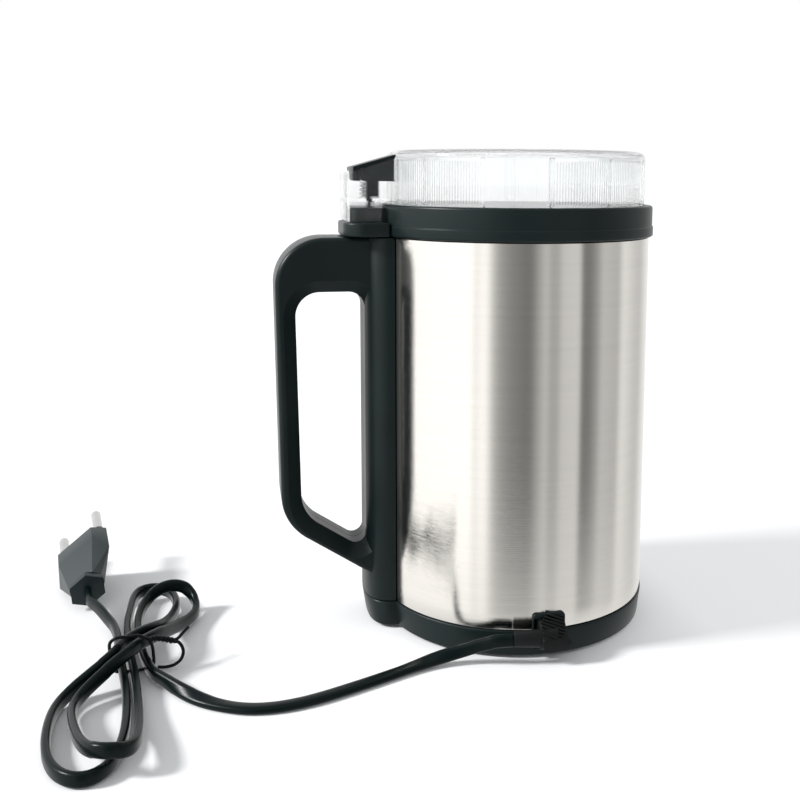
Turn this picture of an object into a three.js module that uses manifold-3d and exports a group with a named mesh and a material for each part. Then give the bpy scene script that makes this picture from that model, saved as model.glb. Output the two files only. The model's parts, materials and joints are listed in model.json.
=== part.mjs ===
// Electric food grinder: a motor in a steel sleeve, a bowl and blade above it, a clear lid with a press
// button, a D handle with the lid switch in its column, and a flat cord tied in a bow.
// Millimetres, +Z up, table at z = 0, handle towards +X, cord outlet towards +Y.
import * as THREE from "three";
import { ConvexGeometry } from "three/addons/geometries/ConvexGeometry.js";
import { mergeVertices } from "three/addons/utils/BufferGeometryUtils.js";
import Module from "manifold-3d";

const wasm = await Module();
wasm.setup();

// Driving dimensions
const gap = 0.3; // left between pieces that touch
const overrun = 3; // how far a cut runs past the face that it opens
const sleeveRadius = 52;
const sleeveWall = 0.8;
const sleeveLength = 139;
const standHeight = 1; // of the base ring above the table
const baseHeight = 9.7;
const ringStand = 1.5; // of the top ring past the sleeve
const ringHeight = 11.7;
const ringWidth = 3.5; // of the top ring round the lid
const lidRise = 20; // of the lid above the top ring
const lidWall = 2;
const bowlDepth = 53;
const bowlWall = 0.8;
const handleDepth = 41.3; // from the sleeve to the back of the grip
const columnDepth = 8.5; // of the handle's column past the sleeve
const columnHalfWidth = 16;
const gripHalfWidth = 11.5;
const gripThickness = 7.6;
const tongueStand = 7.5; // of the top ring's tongue past the column
const tongueHalfWidth = 16.5;
const housingInset = 1.2; // of the lid's button housing from the tongue's end
const housingHalfWidth = 12;
const buttonTravel = 2.5;
const shaftRadius = 4;
const motorRoom = 9.2; // between the sleeve and the inside of the motor housing
const rotorShare = 0.51; // of the motor housing's inside
const screwRadius = 1.6;
const cordWidth = 5.8;
const cordThickness = 2.8;
const plugWidth = 25.6;
const plugThickness = 9.8;
const plugLength = 36;
const pinRadius = 2;
const pinLength = 19;
const pinSpacing = 17.6;

// Sizes and places that follow from them
const ringRadius = sleeveRadius + ringStand;
const lidRadius = ringRadius - ringWidth;
const handleReach = sleeveRadius + handleDepth;
const columnReach = sleeveRadius + columnDepth;
const tongueReach = columnReach + tongueStand;
const housingReach = tongueReach - housingInset;
const motorRadius = sleeveRadius - sleeveWall - motorRoom;
const rotorRadius = rotorShare * motorRadius;
const baseTop = standHeight + baseHeight;
const sleeveBottom = baseTop + gap;
const sleeveTop = sleeveBottom + sleeveLength;
const sleeveInner = sleeveRadius - sleeveWall;
const ringBottom = sleeveTop + gap;
const ringTop = ringBottom + ringHeight;
const lidTop = ringTop + lidRise;
const bodyX = (ringRadius - handleReach) / 2; // puts the box round all but the cord about the origin

const finish = {
  clear: { color: 0xe9eef0, roughness: 0.08, metalness: 0, transparent: true, opacity: 0.35 },
  black: { color: 0x16181b, roughness: 0.38, metalness: 0 },
  rubber: { color: 0x1c1c1d, roughness: 0.8, metalness: 0 },
  cord: { color: 0x121314, roughness: 0.45, metalness: 0 },
  steel: { color: 0xc9c7c3, roughness: 0.3, metalness: 1 },
  iron: { color: 0x6d6f72, roughness: 0.5, metalness: 0.9 },
  copper: { color: 0xb06a3a, roughness: 0.35, metalness: 1 },
  brass: { color: 0xc9a24c, roughness: 0.3, metalness: 1 },
  white: { color: 0xe4e2dc, roughness: 0.5, metalness: 0 },
  carbon: { color: 0x2b2b2d, roughness: 0.7, metalness: 0 },
};

// A closed geometry as a solid
function solid(geometry) {
  const bare = geometry.clone();
  bare.deleteAttribute("normal");
  bare.deleteAttribute("uv");
  const merged = mergeVertices(bare, 1e-4);
  const mesh = new wasm.Mesh({
    numProp: 3,
    vertProperties: merged.attributes.position.array,
    triVerts: new Uint32Array(merged.index.array),
  });
  return new wasm.Manifold(mesh);
}

function geometryOf(body) {
  const mesh = body.asOriginal().simplify(gap / 50).getMesh();
  const geometry = new THREE.BufferGeometry();
  geometry.setAttribute("position", new THREE.BufferAttribute(mesh.vertProperties, 3));
  geometry.setIndex(new THREE.BufferAttribute(mesh.triVerts, 1));
  const flat = geometry.toNonIndexed();
  flat.computeVertexNormals();
  return flat;
}

function join(...geometries) {
  return geometries.map(solid).reduce((sum, one) => sum.add(one));
}

function cut(body, ...geometries) {
  return geometries.map(solid).reduce((rest, one) => rest.subtract(one), body);
}

function piece(name, shape, look) {
  const geometry = shape.isBufferGeometry ? shape : geometryOf(shape);
  const mesh = new THREE.Mesh(geometry, new THREE.MeshStandardMaterial(look));
  mesh.name = name;
  return mesh;
}

// A body of revolution about Z from a closed profile of [radius, z]
function turned(profile, segments = 30) {
  const points = profile.map(([r, z]) => new THREE.Vector2(r, z));
  if (THREE.ShapeUtils.area(points) < 0) points.reverse();
  points.push(points[0].clone());
  return new THREE.LatheGeometry(points, segments).rotateX(Math.PI / 2);
}

function tube(inner, outer, low, high, segments = 26) {
  return turned([[inner, low], [outer, low], [outer, high], [inner, high]], segments);
}

function rod(radius, low, high, segments = 14) {
  const length = high - low;
  const geometry = new THREE.CylinderGeometry(radius, radius, length, segments);
  return geometry.rotateX(Math.PI / 2).translate(0, 0, low + length / 2);
}

function block(x0, x1, y0, y1, z0, z1) {
  const geometry = new THREE.BoxGeometry(x1 - x0, y1 - y0, z1 - z0);
  return geometry.translate((x0 + x1) / 2, (y0 + y1) / 2, (z0 + z1) / 2);
}

// Points of an outline whose corners are [x, y, radius]
function outline(corners, steps = 5) {
  const points = [];
  corners.forEach(([x, y, radius = 0], i) => {
    const here = new THREE.Vector2(x, y);
    const before = corners[(i + corners.length - 1) % corners.length];
    const after = corners[(i + 1) % corners.length];
    const back = new THREE.Vector2(before[0] - x, before[1] - y).normalize();
    const ahead = new THREE.Vector2(after[0] - x, after[1] - y).normalize();
    const half = Math.acos(THREE.MathUtils.clamp(back.dot(ahead), -1, 1)) / 2;
    if (radius === 0) {
      points.push(here);
      return;
    }
    const centre = back.clone().add(ahead).normalize().multiplyScalar(radius / Math.sin(half)).add(here);
    const start = here.clone().addScaledVector(back, radius / Math.tan(half)).sub(centre);
    const turn = (Math.PI - 2 * half) * Math.sign(ahead.cross(back));
    for (let k = 0; k <= steps; k++) {
      points.push(start.clone().rotateAround(new THREE.Vector2(), (turn * k) / steps).add(centre));
    }
  });
  return points;
}

// A plan outline raised from low to high
function raised(points, low, high) {
  const geometry = new THREE.ExtrudeGeometry(new THREE.Shape(points), {
    depth: high - low,
    bevelEnabled: false,
  });
  return geometry.translate(0, 0, low);
}

// An outline in X and Z with thickness along Y, from y0 to y1
function slab(points, y0, y1) {
  return raised(points, -y1, -y0).rotateX(Math.PI / 2);
}

// The front of the handle's column, seen from above: a superellipse that starts on the sleeve
function columnOutline(reach, halfWidth, steps = 14) {
  const squareness = 2.6;
  const rootX = sleeveRadius - columnHalfWidth / 5;
  const points = [];
  for (let k = 0; k <= steps; k++) {
    const angle = Math.PI * (k / steps - 0.5);
    const along = Math.abs(Math.cos(angle)) ** (2 / squareness);
    const across = Math.sign(Math.sin(angle)) * Math.abs(Math.sin(angle)) ** (2 / squareness);
    points.push(new THREE.Vector2(rootX + (reach - rootX) * along, halfWidth * across));
  }
  points.push(new THREE.Vector2(sleeveRadius / 2, halfWidth), new THREE.Vector2(sleeveRadius / 2, -halfWidth));
  return points;
}

function coilSpring(radius, wire, low, high, turns) {
  const stepsPerTurn = 8;
  const sides = 5;
  const count = turns * stepsPerTurn;
  const positions = [];
  const index = [];
  for (let i = 0; i <= count; i++) {
    const angle = (2 * Math.PI * i) / stepsPerTurn;
    const z = low + wire + ((high - low - 2 * wire) * i) / count;
    for (let k = 0; k < sides; k++) {
      const around = (2 * Math.PI * k) / sides;
      const r = radius + wire * Math.cos(around);
      positions.push(r * Math.cos(angle), r * Math.sin(angle), z + wire * Math.sin(around));
    }
  }
  stitch(index, count, sides);
  return indexed(positions, index);
}

// Faces of a tube of rings, with flat ends
function stitch(index, count, sides) {
  for (let i = 0; i < count; i++) {
    for (let k = 0; k < sides; k++) {
      const a = i * sides + k;
      const b = i * sides + ((k + 1) % sides);
      index.push(a, a + sides, b, b, a + sides, b + sides);
    }
  }
  for (let k = 1; k < sides - 1; k++) {
    index.push(0, k, k + 1);
    index.push(count * sides, count * sides + k + 1, count * sides + k);
  }
}

function indexed(positions, index) {
  const geometry = new THREE.BufferGeometry();
  geometry.setAttribute("position", new THREE.Float32BufferAttribute(positions, 3));
  geometry.setIndex(index);
  return geometry;
}

// Bowl, gasket and lid stack, from the top ring's ledge up
const ledgeRise = 4.5;
const ledgeReach = 4;
const bowlClearance = 0.5;
const gasketHeight = 1.5;
const ledgeTop = ringBottom + ledgeRise;
const ledgeInner = sleeveInner - ledgeReach;
const seatRadius = lidRadius + gap;
const bowlRimBottom = ledgeTop + gap;
const bowlRimTop = bowlRimBottom + bowlWall;
const bowlOuter = ledgeInner - bowlClearance;
const bowlBottom = bowlRimTop - bowlDepth - bowlWall;
const gasketTop = bowlRimTop + gap + gasketHeight;
const lidBottom = gasketTop + gap;

function topRing() {
  const skirtDepth = 9;
  const skirtWall = 2;
  const bandHeight = 4;
  const bandStep = 0.35;
  const edge = 0.8;
  const ledge = 2.2;
  const skirtOuter = sleeveInner - gap;
  const skirtInner = skirtOuter - skirtWall;
  const shoulder = ringRadius - bandStep;
  const ring = turned([
    [skirtInner, ringBottom - skirtDepth],
    [skirtOuter, ringBottom - skirtDepth],
    [skirtOuter, ringBottom],
    [ringRadius - edge, ringBottom],
    [ringRadius, ringBottom + edge],
    [ringRadius, ringBottom + bandHeight - bandStep],
    [shoulder, ringBottom + bandHeight],
    [shoulder, ringTop - edge],
    [shoulder - edge, ringTop],
    [seatRadius, ringTop],
    [seatRadius, ledgeTop],
    [ledgeInner, ledgeTop],
    [ledgeInner, ledgeTop - ledge],
    [skirtInner, ledgeTop - 2 * ledge],
  ], 40);
  const tongueRoot = ringRadius - skirtWall;
  const tongue = raised(outline([
    [tongueRoot, -tongueHalfWidth],
    [tongueReach, -tongueHalfWidth, tongueCorner],
    [tongueReach, tongueHalfWidth, tongueCorner],
    [tongueRoot, tongueHalfWidth],
  ], 4), ringBottom, tongueTop);
  const switchBlock = raised(outline([
    [tongueRoot, -blockHalfWidth],
    [blockReach, -blockHalfWidth, blockCorner],
    [blockReach, blockHalfWidth, blockCorner],
    [tongueRoot, blockHalfWidth],
  ], 2), tongueTop - edge, blockTop);
  const bore = rod(guideRadius, ringBottom - overrun, blockTop + overrun).translate(stemX, 0, 0);
  return piece("top_ring", cut(join(ring, tongue, switchBlock), bore), finish.black);
}

// Tongue of the top ring, the block on it, and the press button's places
const tongueThickness = 5.2;
const tongueCorner = 8;
const tongueTop = ringBottom + tongueThickness;
const blockHeight = 5.2;
const blockInset = 2.8; // of the block from the tongue's end
const blockSideInset = 2.1; // of the block from the housing's sides
const blockTop = tongueTop + blockHeight;
const blockReach = tongueReach - blockInset;
const blockHalfWidth = housingHalfWidth - blockSideInset;
const blockCorner = 3;
const stemInset = 3.5; // of the button's stem from the column's front
const stemX = columnReach - stemInset;
const stemRadius = 1.1;
const guideClearance = 0.4;
const guideRadius = stemRadius + guideClearance;
const stemDepth = 2.4; // of the button's stem in the block
const housingWall = 1.2;
const pocketRise = 2.2;
const pocketInset = 2.8;
const buttonRise = 6.3;
const pocketFloor = ringTop + pocketRise; // top of the floor under the button
const pocketRoot = lidRadius - pocketInset;
const buttonLow = pocketFloor + buttonRise; // underside of the button's body

function grinderLid() {
  const edgeRadius = 3;
  const edgeSteps = 4;
  const inner = lidRadius - lidWall;
  const profile = [[0, lidTop]];
  for (let k = edgeSteps; k >= 0; k--) {
    const angle = (Math.PI / 2) * (k / edgeSteps);
    profile.push([
      lidRadius - edgeRadius + edgeRadius * Math.cos(angle),
      lidTop - edgeRadius + edgeRadius * Math.sin(angle),
    ]);
  }
  profile.push([lidRadius, lidBottom], [inner, lidBottom]);
  profile.push([inner, lidTop - edgeRadius], [inner - lidWall, lidTop - lidWall], [0, lidTop - lidWall]);
  const points = profile.map(([r, z]) => new THREE.Vector2(r, z));
  const cup = new THREE.LatheGeometry(points.reverse(), 40).rotateX(Math.PI / 2);
  const lowStep = 2; // of the housing's rim below the button's plate
  const highStep = 1.2;
  const slopeLow = buttonTopAt(housingReach) - lowStep;
  const slopeHigh = buttonTopAt(lidRadius) - highStep;
  const housing = slab([
    [pocketRoot - housingWall, pocketFloor - housingWall],
    [housingReach, pocketFloor - housingWall],
    [housingReach, slopeLow],
    [lidRadius, slopeHigh],
    [pocketRoot - housingWall, slopeHigh],
  ].map(([x, z]) => new THREE.Vector2(x, z)), -housingHalfWidth, housingHalfWidth);
  const skirtInnerX = ringRadius + gap;
  const skirt = block(
    skirtInnerX, housingReach, -housingHalfWidth, housingHalfWidth,
    tongueTop + gap, pocketFloor,
  );
  const pocket = block(
    pocketRoot, housingReach - housingWall, -housingHalfWidth + housingWall, housingHalfWidth - housingWall,
    pocketFloor, lidTop + overrun,
  );
  const skirtHollow = block(
    skirtInnerX - overrun, housingReach - housingWall, -housingHalfWidth + housingWall,
    housingHalfWidth - housingWall, tongueTop - overrun, pocketFloor - housingWall,
  );
  const stemSlot = block(
    legRoot - 2 * gap, legEnd + 2 * gap, -legHalfWidth - gap, legHalfWidth + gap,
    pocketFloor - 2 * housingWall, pocketFloor + housingWall,
  );
  const lip = tube(lidRadius - lidWall - gap, seatRadius, lidBottom, ringTop, 40);
  let body = join(cup, housing).add(solid(skirt));
  body = cut(body, pocket);
  body = cut(body, block(
    skirtInnerX - overrun - lidWall, housingReach - housingWall, -housingHalfWidth + housingWall,
    housingHalfWidth - housingWall, lidBottom - overrun, lidBottom,
  ));
  body = body.subtract(solid(skirtHollow).subtract(solid(lip)));
  body = cut(body, stemSlot);
  for (let k = 0; k < lidRibCount; k++) {
    const rib = block(inner, lidRadius + lidRibStand, -lidRibWidth / 2, lidRibWidth / 2, ringTop + gap, lidTop - edgeRadius);
    body = body.add(solid(rib.rotateZ(lidRibFirst + k * lidRibStep)));
  }
  return piece("lid", body, finish.clear);
}

const lidRibCount = 12;
const lidRibStep = (2 * Math.PI) / 13;
const lidRibFirst = THREE.MathUtils.degToRad(34);
const lidRibWidth = 1.6;
const lidRibStand = 0.4;

// Press button: a sloping plate with a body, a leg and a stem
const plateThickness = 1.4;
const plateEndInset = 1.4;
const plateRootInset = 1.6;
const plateRise = 5.3;
const plateLowX = housingReach - housingWall - plateEndInset;
const plateHighX = lidRadius - plateRootInset;
const plateLowZ = buttonLow + plateRise;
const plateHighZ = lidTop - plateRootInset;
const legDepth = 3.4; // of the leg on the stem's far side
const legRoot = stemX - legDepth;
const legEnd = stemX + stemRadius;
const springRoom = 2.1; // beside the leg
const coreEnd = legEnd + springRoom;
const legHalfWidth = 3;

function buttonTopAt(x) {
  const share = (x - plateLowX) / (plateHighX - plateLowX);
  return plateLowZ + (plateHighZ - plateLowZ) * share;
}

function lidButton() {
  const plateHalfWidth = housingHalfWidth - housingWall - gap;
  const sideInset = 3;
  const bootStep = 1; // between the core and the boot beside it
  const bootInset = 0.4;
  const rootInset = 0.2;
  const bodyHalfWidth = plateHalfWidth - sideInset;
  const bootRoot = coreEnd + bootStep;
  const bootEnd = plateLowX - bootInset;
  const under = (x) => buttonTopAt(x) - plateThickness;
  const bodyRoot = plateHighX + rootInset;
  const flat = (pairs) => pairs.map(([x, z]) => new THREE.Vector2(x, z));
  const plate = slab(flat([
    [plateLowX, under(plateLowX)],
    [plateLowX, buttonTopAt(plateLowX)],
    [plateHighX, buttonTopAt(plateHighX)],
    [plateHighX, under(plateHighX)],
  ]), -plateHalfWidth, plateHalfWidth);
  const core = slab(flat([
    [bodyRoot, buttonLow],
    [coreEnd, buttonLow],
    [coreEnd, under(coreEnd) + plateThickness / 2],
    [bodyRoot, under(bodyRoot) + plateThickness / 2],
  ]), -bodyHalfWidth, bodyHalfWidth);
  const boot = slab(flat([
    [bootRoot, buttonLow],
    [bootEnd, buttonLow],
    [bootEnd, under(bootEnd) + plateThickness / 2],
    [bootRoot, under(bootRoot) + plateThickness / 2],
  ]), -bodyHalfWidth, bodyHalfWidth);
  const legBottom = ringTop + buttonTravel + gap;
  const leg = block(legRoot, legEnd, -legHalfWidth, legHalfWidth, legBottom, buttonLow + plateThickness);
  const stem = rod(stemRadius, blockTop - stemDepth, legBottom + plateThickness, 12).translate(stemX, 0, 0);
  return piece("lid_button", join(plate, core, boot, leg, stem), finish.black);
}

function lidButtonSpring() {
  const wire = 0.25;
  const radius = 0.7;
  const offset = 0.1; // from the middle of its room
  const x = (legEnd + coreEnd) / 2 + offset;
  const spring = coilSpring(radius, wire, pocketFloor + gap, buttonLow - gap, 4);
  return piece("lid_button_spring", spring.translate(x, 0, 0), finish.steel);
}

function grindingBowl() {
  const corner = 9;
  const cornerSteps = 3;
  const inner = bowlOuter - bowlWall;
  const profile = [[sealRadius + gap, bowlBottom]];
  for (let k = 0; k <= cornerSteps; k++) {
    const angle = (Math.PI / 2) * (k / cornerSteps - 1);
    profile.push([
      bowlOuter - corner + corner * Math.cos(angle),
      bowlBottom + corner + corner * Math.sin(angle),
    ]);
  }
  profile.push([bowlOuter, bowlRimBottom], [lidRadius, bowlRimBottom], [lidRadius, bowlRimTop], [inner, bowlRimTop]);
  for (let k = cornerSteps; k >= 0; k--) {
    const angle = (Math.PI / 2) * (k / cornerSteps - 1);
    profile.push([
      bowlOuter - corner + (corner - bowlWall) * Math.cos(angle),
      bowlBottom + corner + (corner - bowlWall) * Math.sin(angle),
    ]);
  }
  profile.push([sealRadius + gap, bowlBottom + bowlWall]);
  return piece("grinding_bowl", turned(profile), finish.steel);
}

const sealRadius = 9.2;

function bowlGasket() {
  const inset = 0.4;
  const ring = tube(bowlOuter - bowlWall + inset, lidRadius - gap, bowlRimTop + gap, gasketTop, 32);
  return piece("bowl_gasket", ring, finish.rubber);
}

function bowlSeal() {
  const flange = 2.8;
  const depth = 1.5;
  const bore = shaftRadius + gap;
  const top = bowlBottom + bowlWall + gap;
  return piece("bowl_seal", turned([
    [bore, bowlBottom - depth],
    [sealRadius, bowlBottom - depth],
    [sealRadius, top],
    [sealRadius + flange, top],
    [sealRadius + flange, top + depth],
    [bore, top + depth],
  ], 24), finish.rubber);
}

// Motor stack, upwards from the base collar
const collarHeight = 5.3; // of the base ring inside the sleeve
const collarTop = baseTop + collarHeight;
const flangeBottom = collarTop + gap;
const flangeThickness = 2.5;
const motorWall = 2.5;
const bearingRadius = 11;
const bearingHeight = 7;
const cupWall = 2.7;
const bracketThickness = 5;
const bracketRise = 2.9;
const bearingDrop = 2; // of the lower bearing below the bracket's top
const holderRise = 2;
const holderHeight = 8;
const commutatorDrop = 0.5;
const commutatorHeight = 8.5;
const brushRoom = 17; // between the bracket and the stator's core
const coilOverhang = 5.5; // of the windings past the core
const fanRise = 1.5;
const fanHeight = 6.2;
const fanClearance = 3.5;
const deckDrop = 3;
const deckThickness = 3;
const bearingInset = 3.7;
const bladeRise = 7.5;
const bladeThickness = 1.5;
const nutHeight = 4.2;
const threadRadius = 3;
const threadInset = 1; // of the shaft's end below the nut's top
const airGap = 0.9;
const bracketBottom = flangeBottom + flangeThickness + bracketRise;
const bracketTop = bracketBottom + bracketThickness;
const lowerBearingBottom = bracketTop - bearingHeight - bearingDrop;
const holderBottom = bracketTop + holderRise;
const commutatorBottom = holderBottom - commutatorDrop;
const deckTop = bowlBottom - deckDrop;
const upperBearingTop = deckTop - bearingInset;
const fanBottom = upperBearingTop - bearingHeight - fanClearance - fanHeight;
const stackBottom = bracketTop + brushRoom;
const stackTop = fanBottom - fanRise - coilOverhang;
const bladeBottom = bowlBottom + bladeRise;

function motorHousing() {
  const pocket = bearingRadius + gap;
  const outer = motorRadius + motorWall;
  const lip = 1.5;
  const ribInset = 14;
  const pilotSpare = 1;
  const bearingBottom = upperBearingTop - bearingHeight;
  const ribTop = bowlBottom - gap;
  const ribRadius = bowlOuter - ribInset;
  const shell = turned([
    [motorRadius, flangeBottom],
    [sleeveInner - gap, flangeBottom],
    [sleeveInner - gap, flangeBottom + flangeThickness],
    [outer, flangeBottom + flangeThickness],
    [outer, deckTop - deckThickness],
    [sleeveInner - gap, deckTop - deckThickness],
    [sleeveInner - gap, deckTop],
    [ribRadius + motorWall, deckTop],
    [ribRadius + motorWall, ribTop],
    [ribRadius, ribTop],
    [ribRadius, deckTop],
    [pocket, deckTop],
    [pocket, bearingBottom - gap],
    [pocket - lip, bearingBottom - gap],
    [pocket - lip, bearingBottom - gap - lip],
    [pocket + cupWall, bearingBottom - gap - lip],
    [pocket + cupWall, deckTop - deckThickness],
    [motorRadius, deckTop - deckThickness],
  ]);
  let body = solid(shell);
  for (const side of [0, Math.PI]) {
    const post = rod(postRadius, bracketTop + gap, stackBottom - gap, 12);
    const pilot = rod(screwRadius + gap, bracketTop - overrun, bracketTop + screwGrip + pilotSpare, 10);
    const web = block(0, motorWall + postRadius, -postRadius, postRadius, bracketTop + gap, stackBottom - gap);
    const joined = join(post, web);
    const placed = cut(joined, pilot);
    const moved = geometryOf(placed).translate(postX, 0, 0).rotateZ(side);
    const trim = rod(outer - gap, bracketTop - overrun, stackBottom + overrun, 40);
    body = body.add(solid(moved).intersect(solid(trim)));
  }
  const slotWidth = 4;
  const slotCount = 6;
  for (let k = 0; k < slotCount; k++) {
    const slot = block(
      motorRadius - overrun, outer + overrun, -slotWidth / 2, slotWidth / 2,
      fanBottom, fanBottom + fanHeight,
    );
    body = cut(body, slot.rotateZ((Math.PI * (2 * k + 1)) / slotCount));
  }
  return piece("motor_housing", body, finish.white);
}

const postRadius = 3.4;
const postX = motorRadius - postRadius;
const screwGrip = 9;
const headRadius = 3;
const headHeight = 2;

function screw(name, low, high, place) {
  const shape = join(rod(headRadius, low, low + headHeight, 12), rod(screwRadius, low + gap, high, 10));
  const geometry = geometryOf(shape);
  place(geometry);
  return piece(name, geometry, finish.steel);
}

function bracketScrews() {
  return [0, 1].map((k) => screw(
    "bracket_screw_" + (k + 1),
    bracketBottom - gap - headHeight,
    bracketTop + screwGrip,
    (g) => g.translate(postX, 0, 0).rotateZ(Math.PI * k),
  ));
}

function lowerBracket() {
  const pocket = bearingRadius + gap;
  const halfWidth = 7;
  const padInset = 1;
  const lip = 1.5;
  const bottom = lowerBearingBottom - gap;
  const cup = turned([
    [pocket - lip, bottom - lip],
    [pocket + cupWall, bottom - lip],
    [pocket + cupWall, bracketTop],
    [pocket, bracketTop],
    [pocket, bottom],
    [pocket - lip, bottom],
  ], 24);
  const reach = motorRadius - gap;
  const bar = solid(block(-reach, reach, -halfWidth, halfWidth, bracketBottom, bracketTop))
    .intersect(solid(rod(reach, bracketBottom - overrun, bracketTop + overrun, 48)));
  let body = cut(bar, rod(pocket, bracketBottom - overrun, bracketTop + overrun, 32)).add(solid(cup));
  for (const side of [0, Math.PI]) {
    const pad = block(
      holderRoot + padInset, holderEnd - padInset, -halfWidth / 2, halfWidth / 2,
      bracketTop - padInset, holderBottom - gap,
    );
    body = body.add(solid(pad.rotateZ(side)));
    const hole = rod(screwRadius + gap, bracketBottom - overrun, bracketTop + overrun, 12);
    body = cut(body, hole.translate(postX, 0, 0).rotateZ(side));
  }
  return piece("lower_bracket", body, finish.white);
}

const commutatorRadius = 11;
const holderStep = 2; // between the commutator and the brush holders
const holderClearance = 5.2;
const holderRoot = commutatorRadius + holderStep;
const holderEnd = postX - postRadius - holderClearance;
const brushHalfWidth = 2.3;
const holderWall = 1.4;

function brushSet(k) {
  const side = k === 0 ? "right" : "left";
  const turn = Math.PI * k;
  const bore = brushHalfWidth + gap;
  const middle = holderBottom + holderHeight / 2;
  const endWall = 1;
  const shell = cut(
    solid(block(holderRoot, holderEnd, -bore - holderWall, bore + holderWall, holderBottom, holderBottom + holderHeight)),
    block(holderRoot - overrun, holderEnd - endWall, -bore, bore, middle - bore, middle + bore),
  );
  const brushShare = 0.5; // of the holder's room
  const coilRadius = 1.6;
  const coilWire = 0.3;
  const brushEnd = holderRoot + brushShare * (holderEnd - endWall - holderRoot);
  const brush = block(
    commutatorRadius + gap, brushEnd, -brushHalfWidth, brushHalfWidth,
    middle - brushHalfWidth, middle + brushHalfWidth,
  );
  const spring = coilSpring(coilRadius, coilWire, brushEnd + gap, holderEnd - endWall - gap, 4)
    .rotateY(Math.PI / 2)
    .translate(0, 0, middle);
  return [
    piece("brush_holder_" + side, geometryOf(shell).rotateZ(turn), finish.brass),
    piece("brush_" + side, brush.rotateZ(turn), finish.carbon),
    piece("brush_spring_" + side, spring.rotateZ(turn), finish.steel),
  ];
}

function bearing(name, top) {
  return piece(name, tube(shaftRadius + gap, bearingRadius, top - bearingHeight, top), finish.steel);
}

function motorShaft() {
  const shoulder = bladeBottom - gap;
  const end = bladeBottom + bladeThickness + nutHeight - threadInset;
  return piece("motor_shaft", turned([
    [0, lowerBearingBottom],
    [shaftRadius, lowerBearingBottom],
    [shaftRadius, shoulder],
    [threadRadius, shoulder],
    [threadRadius, end],
    [0, end],
  ], 24), finish.steel);
}

function armature() {
  const slotCount = 10;
  const slotDepth = 5;
  const slotWidth = 2;
  const bore = shaftRadius + gap;
  const windingInset = 3.4;
  const drumInset = 0.5;
  const headStep = 1;
  const headTaper = 3;
  const winding = rotorRadius - windingInset;
  const headLow = stackBottom - coilOverhang + headStep;
  const headHigh = stackTop + coilOverhang - headStep;
  const drum = tube(bore, rotorRadius, stackBottom + drumInset, stackTop - drumInset, 20);
  let body = solid(drum);
  for (let k = 0; k < slotCount; k++) {
    const slot = block(rotorRadius - slotDepth / 2, rotorRadius + overrun, -slotWidth / 2, slotWidth / 2,
      stackBottom - overrun, stackTop + overrun);
    body = cut(body, slot.rotateZ((2 * Math.PI * k) / slotCount));
  }
  const heads = turned([
    [bore, headLow],
    [winding - headTaper, headLow],
    [winding, stackBottom - headStep],
    [winding, stackTop + headStep],
    [winding - headTaper, headHigh],
    [bore, headHigh],
  ], 24);
  return piece("armature", body.add(solid(heads)), finish.copper);
}

function commutator() {
  const bore = shaftRadius + gap;
  const collarStand = 1.5;
  const collarHeight = 1;
  const top = commutatorBottom + commutatorHeight;
  return piece("commutator", turned([
    [bore, commutatorBottom],
    [commutatorRadius, commutatorBottom],
    [commutatorRadius, top],
    [commutatorRadius + collarStand, top],
    [commutatorRadius + collarStand, top + collarHeight],
    [bore, top + collarHeight],
  ], 24), finish.copper);
}

function coolingFan() {
  const bladeCount = 8;
  const tipClearance = 4;
  const plate = 1.2;
  const hubWall = 5;
  const vaneRoot = 1;
  const reach = motorRadius - tipClearance;
  const hub = shaftRadius + hubWall;
  const bore = shaftRadius + gap;
  const top = fanBottom + fanHeight;
  const disc = turned([
    [bore, fanBottom],
    [hub, fanBottom],
    [hub, top - plate],
    [reach, top - plate],
    [reach, top],
    [bore, top],
  ], 28);
  let body = solid(disc);
  for (let k = 0; k < bladeCount; k++) {
    const vane = block(hub - vaneRoot, reach, -plate / 2, plate / 2, fanBottom, top - plate / 2);
    body = body.add(solid(vane.rotateZ((2 * Math.PI * k) / bladeCount)));
  }
  return piece("cooling_fan", body, finish.white);
}

const coilDepth = 6.6;
const slotReach = rotorRadius + coilDepth; // of the stator's winding slots
const slotHalfHeight = 12;

function statorCore() {
  const corner = 14;
  const half = (motorRadius - gap - corner) / Math.SQRT2 + corner;
  const square = outline([
    [-half, -half, corner],
    [half, -half, corner],
    [half, half, corner],
    [-half, half, corner],
  ], 5);
  const bore = rotorRadius + airGap;
  const body = cut(
    solid(raised(square, stackBottom, stackTop)),
    rod(bore, stackBottom - overrun, stackTop + overrun, 40),
    block(-slotReach, slotReach, -slotHalfHeight, slotHalfHeight, stackBottom - overrun, stackTop + overrun),
  );
  return piece("stator_core", body, finish.iron);
}

function fieldCoil(name, turn) {
  const headInset = 2;
  const runStep = 1;
  const inner = rotorRadius + headInset;
  const outer = slotReach - gap;
  const low = stackBottom - coilOverhang;
  const high = stackTop + coilOverhang;
  const part = block(-outer - overrun, outer + overrun, gap, outer + overrun, low - overrun, high + overrun);
  const heads = [
    tube(inner, outer, low, stackBottom - gap, 28),
    tube(inner, outer, stackTop + gap, high, 28),
  ];
  let body = join(...heads).intersect(solid(part));
  for (const side of [-1, 1]) {
    const near = Math.min(side * inner, side * outer);
    const run = block(near, near + outer - inner, gap, slotHalfHeight - gap, low + runStep, high - runStep);
    body = body.add(solid(run));
  }
  const clear = rod(rotorRadius + airGap, low - overrun, high + overrun, 40);
  return piece(name, geometryOf(cut(body, clear)).rotateZ(turn), finish.copper);
}

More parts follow.
